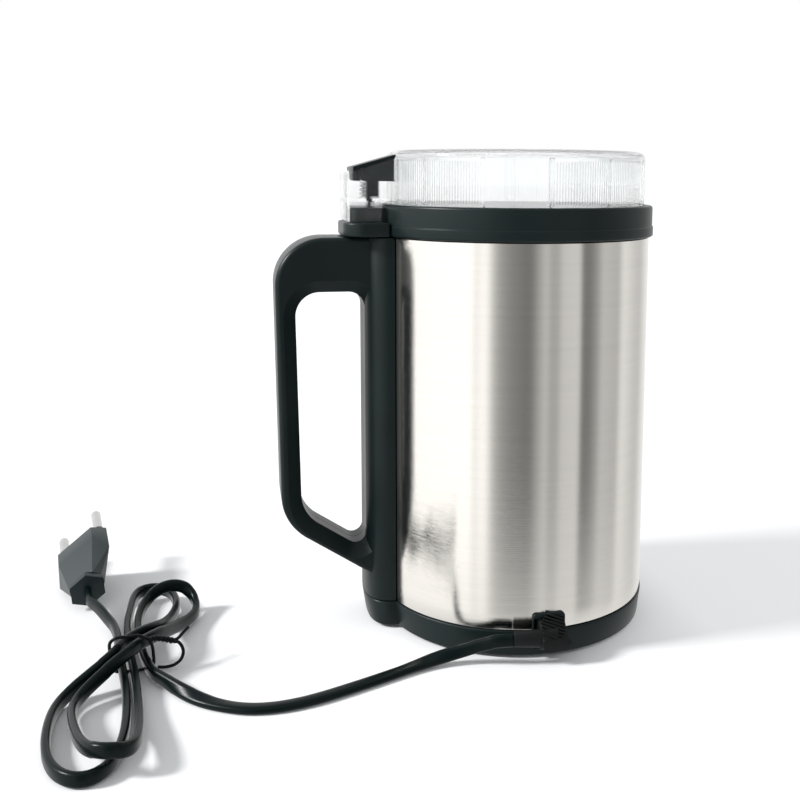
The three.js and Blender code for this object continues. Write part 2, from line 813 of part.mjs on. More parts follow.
function bladePiece() {
  const reachShare = 0.588; // of the bowl's inside that the flat part sweeps
  const tipShare = 0.24;
  const halfLength = reachShare * (bowlOuter - bowlWall);
  const halfWidth = 6;
  const tipLength = tipShare * (bowlOuter - bowlWall);
  const tipSlant = 5;
  const tipRoot = 1;
  const tipRise = THREE.MathUtils.degToRad(28);
  const bore = threadRadius + gap;
  const middle = raised(outline([
    [-halfLength, -halfWidth],
    [halfLength, -halfWidth],
    [halfLength, halfWidth],
    [-halfLength, halfWidth],
  ]), 0, bladeThickness);
  let body = solid(middle);
  for (const side of [0, Math.PI]) {
    const tip = raised(outline([
      [-tipRoot, -halfWidth],
      [tipLength, -halfWidth],
      [tipLength - tipSlant, halfWidth],
      [-tipRoot, halfWidth],
    ]), 0, bladeThickness);
    tip.rotateY(-tipRise).translate(halfLength - gap, 0, 0).rotateZ(side);
    body = body.add(solid(tip));
  }
  const drilled = cut(body, rod(bore, -overrun, bladeThickness + overrun, 20));
  return piece("blade", geometryOf(drilled).translate(0, 0, bladeBottom), finish.steel);
}

function bladeNut() {
  const low = bladeBottom + bladeThickness + gap;
  const wall = 3.2;
  const radius = threadRadius + wall;
  const hexagon = new THREE.CylinderGeometry(radius, radius, nutHeight, 6).rotateX(Math.PI / 2);
  hexagon.translate(0, 0, low + nutHeight / 2);
  const body = cut(solid(hexagon), rod(threadRadius + gap, low - overrun, low + nutHeight - threadInset, 20));
  return piece("blade_nut", body, finish.brass);
}

// Handle column, switch and wire
const columnScrewY = 9.5;
const lowScrewRise = 29;
const highScrewDrop = 35;
const wireHoleRise = 19;
const wireRadius = 1.3;
const switchDrop = 15; // of the switch below the sleeve's top
const switchHeight = 7;
const switchHalfWidth = 6.5;
const cavityFrontWall = 1.5;
const cavityBackWall = 1.2;
const cavitySideRoom = 0.7;
const columnScrewZ = [sleeveBottom + lowScrewRise, sleeveTop - highScrewDrop];
const wireHoleZ = sleeveBottom + wireHoleRise;
const switchTop = sleeveTop - switchDrop;
const cavityFront = columnReach - cavityFrontWall;
const cavityBack = sleeveRadius + cavityBackWall;
const cavityHalfWidth = switchHalfWidth + cavitySideRoom;
const columnRoof = 2.2;
const switchBack = cavityBack + gap;
const switchFront = cavityFront - gap;

function steelSleeve() {
  const wall = tube(sleeveInner, sleeveRadius, sleeveBottom, sleeveTop, 48);
  const notch = block(
    -outletHalfWidth, outletHalfWidth, sleeveInner - overrun, sleeveRadius + overrun,
    sleeveBottom - overrun, outletTop + gap,
  );
  const grommetRoom = 1;
  const wireHole = rod(wireRadius + grommetRoom, -overrun, overrun, 16);
  wireHole.rotateY(Math.PI / 2).translate(sleeveRadius, 0, wireHoleZ);
  let body = cut(solid(wall), notch, wireHole);
  columnScrewZ.forEach((z, k) => {
    const hole = rod(screwRadius + gap, -overrun, overrun, 12).rotateY(Math.PI / 2);
    body = cut(body, hole.translate(sleeveRadius, columnScrewY * (1 - 2 * k), z));
  });
  return piece("steel_sleeve", body, finish.steel);
}

// Corners of the loop in X and Z: the outside, and the opening for the hand
const gripTop = sleeveTop;
const gripLowShare = 0.985; // the grip leans in this far at its lower end
const bottomSlope = 0.66; // rise over run of the lower bar
const lowerBarStand = 2; // of the lower bar's given point from the column
const lowerBarRise = 12;
const lowerBarThickness = 7.4;
const upperBarThickness = 20.5;
const openingStep = 0.5; // of the opening into the column
const loopTopShare = 0.436; // of the handle's depth, in its outer corner's radius
const loopLowShare = 0.484;
const openingFrontShare = 0.2335; // of the opening's width, in its corners' radii
const openingBackShare = 0.35;
const openingHeelShare = 0.545;
const openingToeShare = 0.1555;
const lowerBarX = columnReach + lowerBarStand;
const lowerBarZ = sleeveBottom + lowerBarRise;
const openingTop = gripTop - upperBarThickness;
const openingBack = handleReach - gripThickness;
const openingFront = columnReach - openingStep;
const openingWidth = openingBack - openingFront;
const openingFloor = lowerBarZ + lowerBarThickness;
const loopRoot = 3; // of the loop inside the sleeve's radius

function lowerBarAt(x, base) {
  return base + (x - lowerBarX) * bottomSlope;
}

function loopOutline() {
  const lowX = handleReach * gripLowShare;
  const rootX = sleeveRadius - loopRoot;
  return outline([
    [rootX, gripTop],
    [handleReach, gripTop, loopTopShare * handleDepth],
    [lowX, lowerBarAt(lowX, lowerBarZ), loopLowShare * handleDepth],
    [rootX, lowerBarAt(rootX, lowerBarZ)],
  ], 6);
}

function openingOutline(grow) {
  const lowX = openingBack - handleReach * (1 - gripLowShare) + grow;
  const frontX = openingFront - grow;
  return outline([
    [frontX, openingTop + grow, openingFrontShare * openingWidth + grow],
    [openingBack + grow, openingTop + grow, openingBackShare * openingWidth + grow],
    [lowX, lowerBarAt(lowX, openingFloor - 1.2 * grow), openingHeelShare * openingWidth + grow],
    [frontX, lowerBarAt(frontX, openingFloor - 1.2 * grow), openingToeShare * openingWidth + grow],
  ], 6);
}

function handleSolid() {
  const flare = 4.7;
  const flareDepth = 5;
  const edge = 1.8;
  const loop = new THREE.ExtrudeGeometry(new THREE.Shape(loopOutline()), {
    depth: 2 * (gripHalfWidth - edge),
    bevelThickness: edge,
    bevelSize: edge,
    bevelOffset: -edge,
    bevelSegments: 2,
  }).translate(0, 0, edge - gripHalfWidth).rotateX(Math.PI / 2);
  const column = raised(columnOutline(columnReach, columnHalfWidth), sleeveBottom, gripTop);
  let body = join(loop, column);
  const opening = new THREE.ExtrudeGeometry(new THREE.Shape(openingOutline(0)), {
    depth: 2 * columnHalfWidth,
    bevelEnabled: false,
  }).translate(0, 0, -columnHalfWidth).rotateX(Math.PI / 2);
  body = cut(body, opening);
  for (const side of [-1, 1]) {
    const funnel = new THREE.ExtrudeGeometry(new THREE.Shape(openingOutline(0)), {
      depth: gripHalfWidth,
      bevelThickness: flareDepth,
      bevelSize: flare,
      bevelSegments: 1,
    }).translate(0, 0, gripHalfWidth).rotateX((side * Math.PI) / 2);
    if (side === -1) funnel.scale(1, 1, -1);
    const grown = solid(side === -1 ? flipped(funnel) : funnel);
    const keep = solid(raised(columnOutline(columnReach, columnHalfWidth), sleeveBottom, gripTop));
    body = body.subtract(grown.subtract(keep));
  }
  const core = rod(sleeveRadius + gap, sleeveBottom - overrun, gripTop + overrun, 48);
  return cut(body, core);
}

// The same surface after a mirroring, with its faces turned back outwards
function flipped(geometry) {
  const flat = geometry.index ? geometry.toNonIndexed() : geometry;
  const p = flat.attributes.position;
  for (let i = 0; i < p.count; i += 3) {
    const b = [p.getX(i + 1), p.getY(i + 1), p.getZ(i + 1)];
    p.setXYZ(i + 1, p.getX(i + 2), p.getY(i + 2), p.getZ(i + 2));
    p.setXYZ(i + 2, ...b);
  }
  return flat;
}

function handleShells() {
  const whole = handleSolid();
  const wall = 2.2;
  const cavityHalf = 5.5;
  const cavityDrop = 4; // of the column's cavity below the wire hole
  const wireRoom = 1;
  const wireRise = 7;
  const gripTaper = 0.6;
  const tipSpare = 1;
  const cavity = block(
    cavityBack, cavityFront, -cavityHalfWidth, cavityHalfWidth,
    wireHoleZ - cavityDrop, gripTop - columnRoof,
  );
  const wirePath = block(
    sleeveRadius - wireRoom, cavityBack + wireRoom, -wireRadius - wireRoom, wireRadius + wireRoom,
    wireHoleZ - wireRadius - wireRoom, wireHoleZ + wireRise,
  );
  const springWell = rod(collarRadius + 2 * gap, switchTop - wireRoom, gripTop - columnRoof, 16);
  springWell.translate(stemX, 0, 0);
  const pinHole = rod(guideRadius, gripTop - columnRoof - overrun, gripTop + overrun, 16).translate(stemX, 0, 0);
  const grip = block(
    openingBack + wall, handleReach - wall - gripTaper, -cavityHalf, cavityHalf,
    lowerBarAt(handleReach, openingFloor), openingTop - wall,
  );
  let hollow = cut(whole, cavity, wirePath, springWell, pinHole, grip);
  handleScrewPlaces.forEach(([x, z]) => {
    const shank = rod(screwRadius + gap, -columnHalfWidth, screwTip + tipSpare, 12);
    const sink = rod(headRadius + gap, -columnHalfWidth - overrun, headFace + headHeight + gap, 16);
    hollow = cut(
      hollow,
      shank.rotateX(-Math.PI / 2).translate(x, 0, z),
      sink.rotateX(-Math.PI / 2).translate(x, 0, z),
    );
  });
  columnScrewZ.forEach((z, k) => {
    const hole = rod(screwRadius + gap, cavityBack - 2 * overrun, columnTip + tipSpare, 12).rotateY(Math.PI / 2);
    hollow = cut(hollow, hole.translate(0, columnScrewY * (1 - 2 * k), z));
  });
  const wide = 2 * handleReach;
  return [1, -1].map((side) => {
    const near = (side * gap) / 2;
    const far = side * wide;
    const half = block(0, wide, Math.min(near, far), Math.max(near, far), -wide, wide);
    const name = side > 0 ? "handle_shell_back" : "handle_shell_front";
    return piece(name, hollow.intersect(solid(half)), finish.black);
  });
}

const barScrewStand = 13;
const barScrewDrop = 10;
const heelScrewInset = 4;
const heelScrewRise = 7;
const handleScrewPlaces = [
  [columnReach + barScrewStand, gripTop - barScrewDrop],
  [columnReach - heelScrewInset, sleeveBottom + heelScrewRise],
];
const headFace = -9; // of the handle screws' heads, along Y
const screwTip = 6;
const tipInset = 3.5;
const columnTip = columnReach - tipInset;
const columnHead = Math.sqrt(sleeveInner ** 2 - (columnScrewY + headRadius) ** 2) - headHeight - gap;

function handleScrews() {
  return handleScrewPlaces.map(([x, z], k) => screw(
    "handle_screw_" + (k + 1), headFace, screwTip,
    (g) => g.rotateX(-Math.PI / 2).translate(x, 0, z),
  ));
}

function columnScrews() {
  return columnScrewZ.map((z, k) => screw(
    "column_screw_" + (k + 1), columnHead, columnTip,
    (g) => g.rotateY(Math.PI / 2).translate(0, columnScrewY * (1 - 2 * k), z),
  ));
}

const pinTop = blockTop - stemDepth - gap;
const pinDepth = 1.2; // of the pin in the switch at rest
const collarRadius = 2.2;
const pinCollarTop = gripTop - columnRoof - gap;
const pinCollarThickness = 1.2;

function switchPin() {
  const collarLow = pinCollarTop - pinCollarThickness;
  return piece("switch_pin", turned([
    [0, switchTop - pinDepth],
    [stemRadius, switchTop - pinDepth],
    [stemRadius, collarLow],
    [collarRadius, collarLow],
    [collarRadius, pinCollarTop],
    [stemRadius, pinCollarTop],
    [stemRadius, pinTop],
    [0, pinTop],
  ], 12).translate(stemX, 0, 0), finish.white);
}

function switchSpring() {
  const radius = 1.75;
  const wire = 0.25;
  const spring = coilSpring(radius, wire, switchTop + gap, pinCollarTop - pinCollarThickness - gap, 5);
  return piece("switch_spring", spring.translate(stemX, 0, 0), finish.steel);
}

function microswitch() {
  const endRoom = 0.8;
  const bore = rod(guideRadius, switchTop - pinDepth - buttonTravel - endRoom, switchTop + overrun, 16);
  const box = block(switchBack, switchFront, -switchHalfWidth, switchHalfWidth, switchTop - switchHeight, switchTop);
  return piece("microswitch", cut(solid(box), bore.translate(stemX, 0, 0)), finish.carbon);
}

function wire(name, points, look, radius = wireRadius, sides = 8) {
  const curve = new THREE.CatmullRomCurve3(points.map((p) => new THREE.Vector3(...p)), false, "centripetal");
  const ring = [];
  for (let k = 0; k < sides; k++) {
    const angle = (2 * Math.PI * k) / sides;
    ring.push(new THREE.Vector2(radius * Math.cos(angle), radius * Math.sin(angle)));
  }
  const steps = Math.round(curve.getLength() / (3.6 * radius));
  const geometry = new THREE.ExtrudeGeometry(new THREE.Shape(ring), { steps, extrudePath: curve });
  return piece(name, geometry, look);
}

function switchWire() {
  const x = (switchBack + switchFront) / 2;
  const straight = 12;
  const bendRise = 25;
  const turnRise = 6;
  const lean = 0.5;
  const turnReach = 4;
  const endReach = 3.5;
  return wire("switch_wire", [
    [x, 0, switchTop - switchHeight - gap],
    [x, 0, switchTop - switchHeight - straight],
    [x, 0, wireHoleZ + bendRise],
    [x - lean, 0, wireHoleZ + turnRise],
    [x - turnReach, 0, wireHoleZ],
    [sleeveInner - endReach, 0, wireHoleZ],
  ], finish.white);
}

// Base
const outletHalfWidth = 5.6;
const outletWall = 1.4;
const windowRise = 14.6;
const windowSill = 3.6;
const frameHeight = 18;
const outletTop = standHeight + windowRise; // of the boot's window
const windowLow = standHeight + windowSill;
const frameTop = standHeight + frameHeight;
const footStations = [45, 135, 225, 315].map(THREE.MathUtils.degToRad);
const footRadius = 6;
const footHeight = 2;
const footInset = 9.2;
const coverInset = 2.4;
const coverThickness = 2.4;
const footX = sleeveRadius - footInset;
const coverRim = sleeveRadius - coverInset;
const coverBottom = standHeight + gap;
const coverTop = coverBottom + coverThickness;
const bossRadius = 4.5;
const bossRise = 2.9;
const bossStand = 3;
const bossBottom = coverTop + bossRise;
const bossTop = baseTop + bossStand;

function baseRing() {
  const edge = 0.5;
  const taper = 1.1;
  const stand = 0.4;
  const ringWall = 2.8;
  const webRoot = 1;
  const topRadius = sleeveRadius + stand;
  const inner = sleeveInner - ringWall;
  const ring = turned([
    [topRadius - taper - edge, standHeight],
    [topRadius - taper, standHeight + edge],
    [topRadius, baseTop - edge],
    [topRadius - edge, baseTop],
    [sleeveInner - gap, baseTop],
    [sleeveInner - gap, collarTop],
    [inner, collarTop],
    [inner, coverTop + gap],
    [coverRim + gap, coverTop + gap],
    [coverRim + gap, standHeight],
  ], 40);
  const lobe = raised(columnOutline(columnReach, columnHalfWidth), standHeight, baseTop);
  const footTaper = 1.5;
  const p = lobe.attributes.position;
  for (let i = 0; i < p.count; i++) {
    const low = (baseTop - p.getZ(i)) / baseHeight;
    const share = 1 - (low * footTaper) / (columnReach - sleeveRadius);
    p.setX(i, sleeveRadius + (p.getX(i) - sleeveRadius) * (p.getX(i) > sleeveRadius ? share : 1));
  }
  const core = rod(topRadius - taper - webRoot, standHeight - overrun, baseTop + overrun, 40);
  let body = solid(ring).add(cut(solid(lobe), core));
  const frame = block(
    -outletHalfWidth - outletWall, outletHalfWidth + outletWall, coverRim + 2 * gap, ringRadius,
    standHeight, frameTop,
  );
  const room = rod(sleeveRadius + gap, baseTop, frameTop + overrun, 48);
  body = body.add(cut(solid(frame), room));
  for (const angle of footStations) {
    const boss = cut(
      join(
        rod(bossRadius, bossBottom, bossTop, 16).translate(footX, 0, 0),
        block(footX, inner + webRoot, -screwRadius, screwRadius, bossBottom, bossTop),
      ),
      rod(screwRadius + gap, bossBottom - overrun, bossTop - webRoot, 10).translate(footX, 0, 0),
    );
    body = body.add(solid(geometryOf(boss).rotateZ(angle)));
  }
  const window = block(
    -outletHalfWidth, outletHalfWidth, inner - overrun, ringRadius + overrun, windowLow, outletTop,
  );
  return piece("base_ring", cut(body, window), finish.black);
}

function bottomCover() {
  const recess = standHeight;
  const bossInset = 0.8;
  const bossRoot = 1;
  const wellRadius = headRadius + gap;
  const wellTop = coverBottom + recess + headHeight + gap;
  let body = solid(rod(coverRim, coverBottom, coverTop, 40));
  for (const angle of footStations) {
    const boss = rod(footRadius - bossInset, coverTop - bossRoot, bossBottom - gap, 14);
    body = body.add(solid(boss.translate(footX, 0, 0).rotateZ(angle)));
  }
  for (const angle of footStations) {
    const seat = rod(footRadius + gap, coverBottom - overrun, coverBottom + recess, 16);
    const well = rod(wellRadius, coverBottom - overrun, wellTop, 12);
    const hole = rod(screwRadius + gap, coverBottom - overrun, bossBottom + overrun, 10);
    for (const tool of [seat, well, hole]) {
      body = cut(body, tool.translate(footX, 0, 0).rotateZ(angle));
    }
  }
  const slotCount = 5;
  const slotWidth = 3;
  const slotPitch = 8;
  const slotHalf = 16;
  for (let k = 0; k < slotCount; k++) {
    const y = (k - (slotCount - 1) / 2) * slotPitch;
    body = cut(body, block(
      -slotHalf, slotHalf, y - slotWidth / 2, y + slotWidth / 2,
      coverBottom - overrun, coverTop + overrun,
    ));
  }
  return piece("bottom_cover", body, finish.black);
}

function feetAndScrews() {
  const recess = standHeight;
  const tipDrop = 2.5;
  return footStations.flatMap((angle, k) => {
    const foot = rod(footRadius, 0, coverBottom + recess - gap, 16).translate(footX, 0, 0).rotateZ(angle);
    const place = (g) => g.translate(footX, 0, 0).rotateZ(angle);
    return [
      piece("rubber_foot_" + (k + 1), foot, finish.rubber),
      screw("cover_screw_" + (k + 1), coverBottom + recess, bossTop - tipDrop, place),
    ];
  });
}

// Cord, plug and what holds them
const bootHalf = outletHalfWidth - gap;
const bootLow = windowLow + gap;
const bootHigh = outletTop - gap;
const bootInset = 4.2;
const bootInside = sleeveInner - bootInset;
const bootLean = 2; // of the boot's bend from the outlet's middle
const bootStand = 5.2; // of the boot's bend past the sleeve
const bootLevel = 10;
const bootRoot = [-bootLean, sleeveRadius + bootStand, bootLevel];
const bootReach = [15.7, -2.2, -0.3]; // of the sheath from the bend

function strainRelief() {
  const flangeStand = 1.8;
  const flangeThickness = 2.6;
  const neckRoot = 1;
  const neckStand = 1.4;
  const elbowStand = 2.2;
  const elbowInset = 2;
  const boreDepth = 6;
  const sheathTip = 2.9;
  const sheathRoot = 3.7;
  const flatness = 0.62;
  const elbowEnd = bootRoot[1] + elbowStand;
  const flange = block(
    -bootHalf - flangeStand, bootHalf + flangeStand, bootInside - flangeThickness, bootInside,
    bootLow, bootHigh,
  );
  const neck = block(
    -bootHalf, bootHalf, bootInside - neckRoot, ringRadius + neckStand, bootLow, bootHigh,
  );
  const elbow = block(
    -bootHalf, bootHalf - neckRoot, ringRadius + neckRoot, elbowEnd,
    bootLow + elbowInset, bootHigh - elbowInset,
  );
  const axis = new THREE.Vector3(...bootReach);
  const sheath = new THREE.CylinderGeometry(sheathTip, sheathRoot, axis.length(), 12).rotateZ(-Math.PI / 2);
  sheath.scale(1, flatness, 1).translate(axis.length() / 2, 0, 0);
  sheath.rotateZ(Math.atan2(axis.y, axis.x)).translate(...bootRoot);
  const bore = rod(wireRadius + gap, -overrun, boreDepth, 12).rotateX(-Math.PI / 2);
  bore.translate(0, bootInside - flangeThickness, bootLevel);
  const body = cut(join(flange, neck, elbow, sheath), bore);
  return piece("strain_relief", body, finish.rubber);
}

function cordClamp() {
  const halfWidth = 8;
  const inset = 9; // of the clamp from the boot
  const thickness = 4;
  const rise = 4;
  const to = bootInside - inset;
  const from = to - thickness;
  const bar = solid(block(-halfWidth, halfWidth, from, to, coverTop + gap, bootLevel + rise));
  const bore = rod(wireRadius + gap, from - overrun, to + overrun, 12).rotateX(-Math.PI / 2);
  return piece("cord_clamp", cut(bar, bore.translate(0, 0, bootLevel)), finish.white);
}

function motorWire() {
  const rootInset = 1; // of the wire in the boot
  const clampInset = 11;
  const bendInset = 17;
  const lean = 1;
  const reachShare = 0.47; // of the holder, to the terminal
  const turnReach = 4;
  const turnDrop = 1.4;
  const side = brushHalfWidth + holderWall + 2 * gap;
  const straight = 6.5;
  const terminal = holderRoot + reachShare * (holderEnd - holderRoot);
  const level = holderBottom + holderHeight / 2;
  const midway = new THREE.Vector2(lean, bootInside - bendInset).lerp(new THREE.Vector2(terminal, side), 0.3);
  return wire("motor_wire", [
    [0, bootInside - rootInset, bootLevel],
    [0, bootInside - clampInset, bootLevel],
    [lean, bootInside - bendInset, bootLevel + lean],
    [midway.x, midway.y, bootLevel + (level - bootLevel) / 2],
    [terminal - turnReach, side + 2 * straight, level - turnDrop],
    [terminal, side + straight, level],
    [terminal, side, level],
  ], finish.white);
}

// The flat cord lies on its side on the table and stands on its edge where it meets something.
// The routes of cord and tie are given as [x, y, z] with y from the sleeve's face at the outlet.
const cordFlat = (cordWidth - cordThickness) / 2;
const leadRoute = [
  [14, 2.96, 9.7],
  [19.6, 2.1, 9.5],
  [25.4, -0.2, 7.7],
  [31.6, -2, 5.4],
  [38.6, -2.6, 3.6],
  [46, -1.4, 2.3],
  [54.2, 1.6, 1.7],
  [63.5, 5.6, 1.6],
  [72.5, 9.4, 1.6],
  [81.1, 12.8, 1.6],
  [89.5, 15.3, 1.6],
  [97.6, 16.3, 1.6],
  [105.5, 15.4, 1.6],
  [113.3, 12, 1.6],
  [121.3, 6.4, 2],
  [128.2, -0.4, 2.9],
  [134, -7.6, 3.6],
  [136.8, -11.1, 3.85],
  [138.07, -13.72, 3.9],
];
const tailRoute = [
  [152.26, -43.3, 4.6],
  [154.34, -50.96, 4.8],
  [157.08, -56.57, 5.5],
  [159.75, -61.32, 6.6],
  [162.15, -65.58, 7.2],
  [165.2, -70.9, 7.5],
  [166.83, -77.9, 8.11],
];

// A route whose frames put the cord's width upright at its ends and let it lie down between
class CordRoute extends THREE.CatmullRomCurve3 {
  constructor(points, layDown) {
    super(points.map((p) => new THREE.Vector3(...p)), false, "centripetal");
    this.layDown = layDown;
  }

  computeFrenetFrames(steps) {
    const frames = { tangents: [], normals: [], binormals: [] };
    for (let i = 0; i <= steps; i++) {
      const tangent = this.getTangentAt(i / steps);
      const across = new THREE.Vector3(0, 0, 1).cross(tangent).normalize();
      const turn = (this.layDown(i / steps) * Math.PI) / 2;
      frames.tangents.push(tangent);
      frames.normals.push(across.clone().applyAxisAngle(tangent, turn));
      frames.binormals.push(tangent.clone().cross(across).applyAxisAngle(tangent, turn));
    }
    return frames;
  }
}

function cordTube(name, points, layDown) {
  const curve = new CordRoute(points, layDown);
  const sides = 8;
  const ring = [];
  for (let k = 0; k < sides; k++) {
    const angle = (Math.PI * (2 * k + 1)) / sides;
    const rise = Math.sin(angle);
    ring.push(new THREE.Vector2(
      (cordThickness / 2) * Math.cos(angle),
      (cordThickness / 2) * rise + Math.sign(rise) * cordFlat,
    ));
  }
  const steps = Math.round(curve.getLength() / (0.85 * cordWidth));
  const geometry = new THREE.ExtrudeGeometry(new THREE.Shape(ring), { steps, extrudePath: curve });
  return piece(name, geometry, finish.cord);
}

function cordLead() {
  const ease = THREE.MathUtils.smoothstep;
  return cordTube("cord_lead", leadRoute, (share) => ease(share, 0.1, 0.3) * (1 - ease(share, 0.75, 0.97)));
}

// The bow: four loops out of one waist, each from one point of the waist to the next and drawn out by
// waves along it, given for X, Y and Z. Passes towards -Y lie low and passes back cross over them.
const floorGap = 0.05;
const floorLayer = cordWidth / 2 + floorGap;
const waist = [
  [138.2, -14, 3.9],
  [141.48, -20.92, 10.98],
  [145.2, -21.42, 4.6],
  [147.88, -20.58, 11],
  [152.2, -43, 4.6],
];
const loopWaves = [
  [
    [-6.25, 10.35, 0.84, -1.35, 0.05, 0.08, 0.02, 0.11, -0.11, 0.16],
    [-51.93, -0.35, 1.7, 0.13, 0.85, -0.15, 0.15, -0.14, 0.23, 0.13],
    [-0.26, 2.55, -2.48, -0.54, 1.18, -0.11, 0.04, -0.07, 0.18, -0.02],
  ],
  [
    [6.65, 11.17, 0.92, -1.1, -0.32, -0.39, -0.43, -0.02, 0.02, 0.04],
    [58.47, -9.97, -4.61, 2.16, 1.13, 0.84, 0.31, -0.2, 0.18, 0.02],
    [-1.16, -1.59, -1.86, 1.13, 0.78, 0.41, 0.25, 0.19, 0.14, -0.09],
  ],
  [
    [-7.2, 8.71, 0.56, -0.96, -0.19, 0.22, 0.14, -0.08, 0.02, -0.23],
    [-56.73, -7.54, 4.65, 0.22, 0.43, 0.03, -0.26, -0.2, -0.25, 0.14],
    [-3.1, 0.91, 0.18, -0.84, 0.63, -0.28, 0.11, -0, -0.05, 0.06],
  ],
  [
    [5.01, 12.23, 1.35, -1.72, -0.61, -0.44, -0.44, -0.46, -0.27, -0.17],
    [69.53, -7.22, -8.14, 0.16, 1.42, 0.38, 0.64, 0.2, 0.11, 0.2],
    [-5.62, -1.48, -0.65, -0.14, 0.42, 0.24, 0.5, 0.24, 0.24, 0.15],
  ],
];

function loopPoint(loop, share) {
  const spot = [0, 1, 2].map((axis) => loopWaves[loop][axis].reduce(
    (sum, wave, k) => sum + wave * Math.sin((k + 1) * Math.PI * share),
    THREE.MathUtils.lerp(waist[loop][axis], waist[loop + 1][axis], share),
  ));
  return new THREE.Vector3(spot[0], spot[1], Math.max(spot[2], floorLayer));
}

function bowLine() {
  const steps = 30;
  const points = [new THREE.Vector3(...waist[0])];
  for (let loop = 0; loop < loopWaves.length; loop++) {
    for (let k = 1; k <= steps; k++) points.push(loopPoint(loop, k / steps));
  }
  return points;
}

// Least gap between stretches of the bow that lie at least some widths apart along it
function leastGap(points) {
  const stand = 2 * cordFlat;
  const fine = new THREE.CatmullRomCurve3(points, false, "centripetal").getSpacedPoints(1200);
  const apart = Math.ceil((4 * cordWidth) / fine[0].distanceTo(fine[1]));
  let least = Infinity;
  for (let i = 0; i < fine.length; i++) {
    for (let j = i + apart; j < fine.length; j++) {
      const rise = Math.max(0, Math.abs(fine[i].z - fine[j].z) - stand);
      const level = Math.hypot(fine[i].x - fine[j].x, fine[i].y - fine[j].y);
      least = Math.min(least, Math.hypot(level, rise) - cordThickness);
    }
  }
  return least;
}

function cordHank() {
  const points = bowLine();
  console.log("least gap of the bow to itself, mm:", leastGap(points).toFixed(2));
  const positions = [];
  const index = [];
  const half = cordThickness / 2;
  const section = [[0, -cordWidth / 2], [half, -cordFlat], [half, cordFlat], [0, cordWidth / 2],
    [-half, cordFlat], [-half, -cordFlat]];
  points.forEach((point, i) => {
    const before = points[Math.max(i - 1, 0)];
    const after = points[Math.min(i + 1, points.length - 1)];
    const forward = after.clone().sub(before).setZ(0).normalize();
    for (const [side, up] of section) {
      positions.push(point.x + forward.y * side, point.y - forward.x * side, point.z + up);
    }
  });
  stitch(index, points.length - 1, section.length);
  return piece("cord_hank", indexed(positions, index), finish.cord);
}

// One wire from its curled end, along the twist and round the bow's waist
function cordTie() {
  const tieRadius = 0.6;
  return wire("cord_tie", [
    [136.4, -20.7, 1.2],
    [134.7, -20.2, 1.2],
    [132.7, -19.7, 1.5],
    [130.4, -19.2, 2.4],
    [128.5, -19.3, 4],
    [127.7, -20.3, 6],
    [128.2, -21.3, 7.8],
    [129.5, -22, 9.2],
    [131.8, -21.1, 10.3],
    [134.1, -21, 11.2],
    [136.4, -20.6, 11.9],
    [138.4, -19.1, 12.4],
    [140.1, -18.9, 13.2],
    [142.6, -17.8, 14.75],
    [146, -17.5, 14.75],
    [149.4, -17.5, 14.75],
    [151.6, -17.9, 13],
    [151.9, -18.8, 9.5],
    [151.8, -20.3, 4],
    [151, -20.6, 1.6],
    [149.3, -20.7, 0.8],
    [141, -20.7, 0.8],
    [138.9, -20.8, 0.95],
    [137.9, -20.9, 2.4],
    [137.8, -21, 6],
    [138.1, -21, 9],
  ], finish.cord, tieRadius, 5);
}

// The plug lies tilted on its collar. Along its own Y axis: collar, neck, shoulders, face and pins.
const plugPlace = [166.88, -78.19, 8.15];
const plugTurn = [8.5, -39.9, -169.5];

// A long hexagon across the plug's axis, with flat faces above and below
function plugRing(y, half, flatHalf, rise) {
  return [[-half, y, 0], [-flatHalf, y, rise], [flatHalf, y, rise], [half, y, 0], [flatHalf, y, -rise],
    [-flatHalf, y, -rise]];
}

function plug() {
  const half = plugWidth / 2;
  const slope = 4.1; // of the side faces, across
  const frontDepth = 9.5; // of the straight band behind the face
  const shoulderDepth = 17;
  const socketDepth = 5;
  const neckEnd = 2.6;
  const neckHalf = 6.6;
  const neckFlat = 5.5;
  const neckRise = 3.6;
  const collarDepth = 3;
  const collarReach = 8.3;
  const sleeveStand = 1.6; // of the dark sleeve at a pin's root
  const pinSleeve = 0.9;
  const corners = [
    ...plugRing(neckEnd, neckHalf, neckFlat, neckRise),
    [-half, plugLength - shoulderDepth, 0],
    [half, plugLength - shoulderDepth, 0],
    ...plugRing(plugLength - frontDepth, half, half - slope, plugThickness / 2),
    ...plugRing(plugLength, half, half - slope, plugThickness / 2),
  ];
  const shell = new ConvexGeometry(corners.map((p) => new THREE.Vector3(...p)));
  const collar = new THREE.CylinderGeometry(collarReach, collarReach, collarDepth, 6).rotateY(Math.PI / 6);
  let body = join(shell, collar.translate(0, collarDepth / 2, 0));
  const pins = [1, -1].map((side) => {
    const x = (side * pinSpacing) / 2;
    const root = plugLength - socketDepth;
    const socket = rod(pinRadius + gap, root - gap, plugLength + overrun, 12).rotateX(-Math.PI / 2);
    const sleeve = rod(pinRadius + pinSleeve, root, plugLength + sleeveStand, 12).rotateX(-Math.PI / 2);
    body = cut(body.add(solid(sleeve.translate(x, 0, 0))), socket.translate(x, 0, 0));
    const shape = rod(pinRadius, root, plugLength + pinLength, 16).rotateX(-Math.PI / 2).translate(x, 0, 0);
    return piece(side > 0 ? "plug_pin_right" : "plug_pin_left", shape, finish.steel);
  });
  const whole = new THREE.Group();
  whole.add(piece("plug_body", body, finish.black), ...pins);
  const [pitch, roll, yaw] = plugTurn.map(THREE.MathUtils.degToRad);
  whole.rotation.set(pitch, roll, yaw, "ZXY");
  whole.position.set(...plugPlace);
  return whole;
}

const cord = new THREE.Group();
cord.position.y = sleeveRadius;
cord.add(cordLead(), cordHank(), cordTube("cord_tail", tailRoute, () => 0), cordTie(), plug());

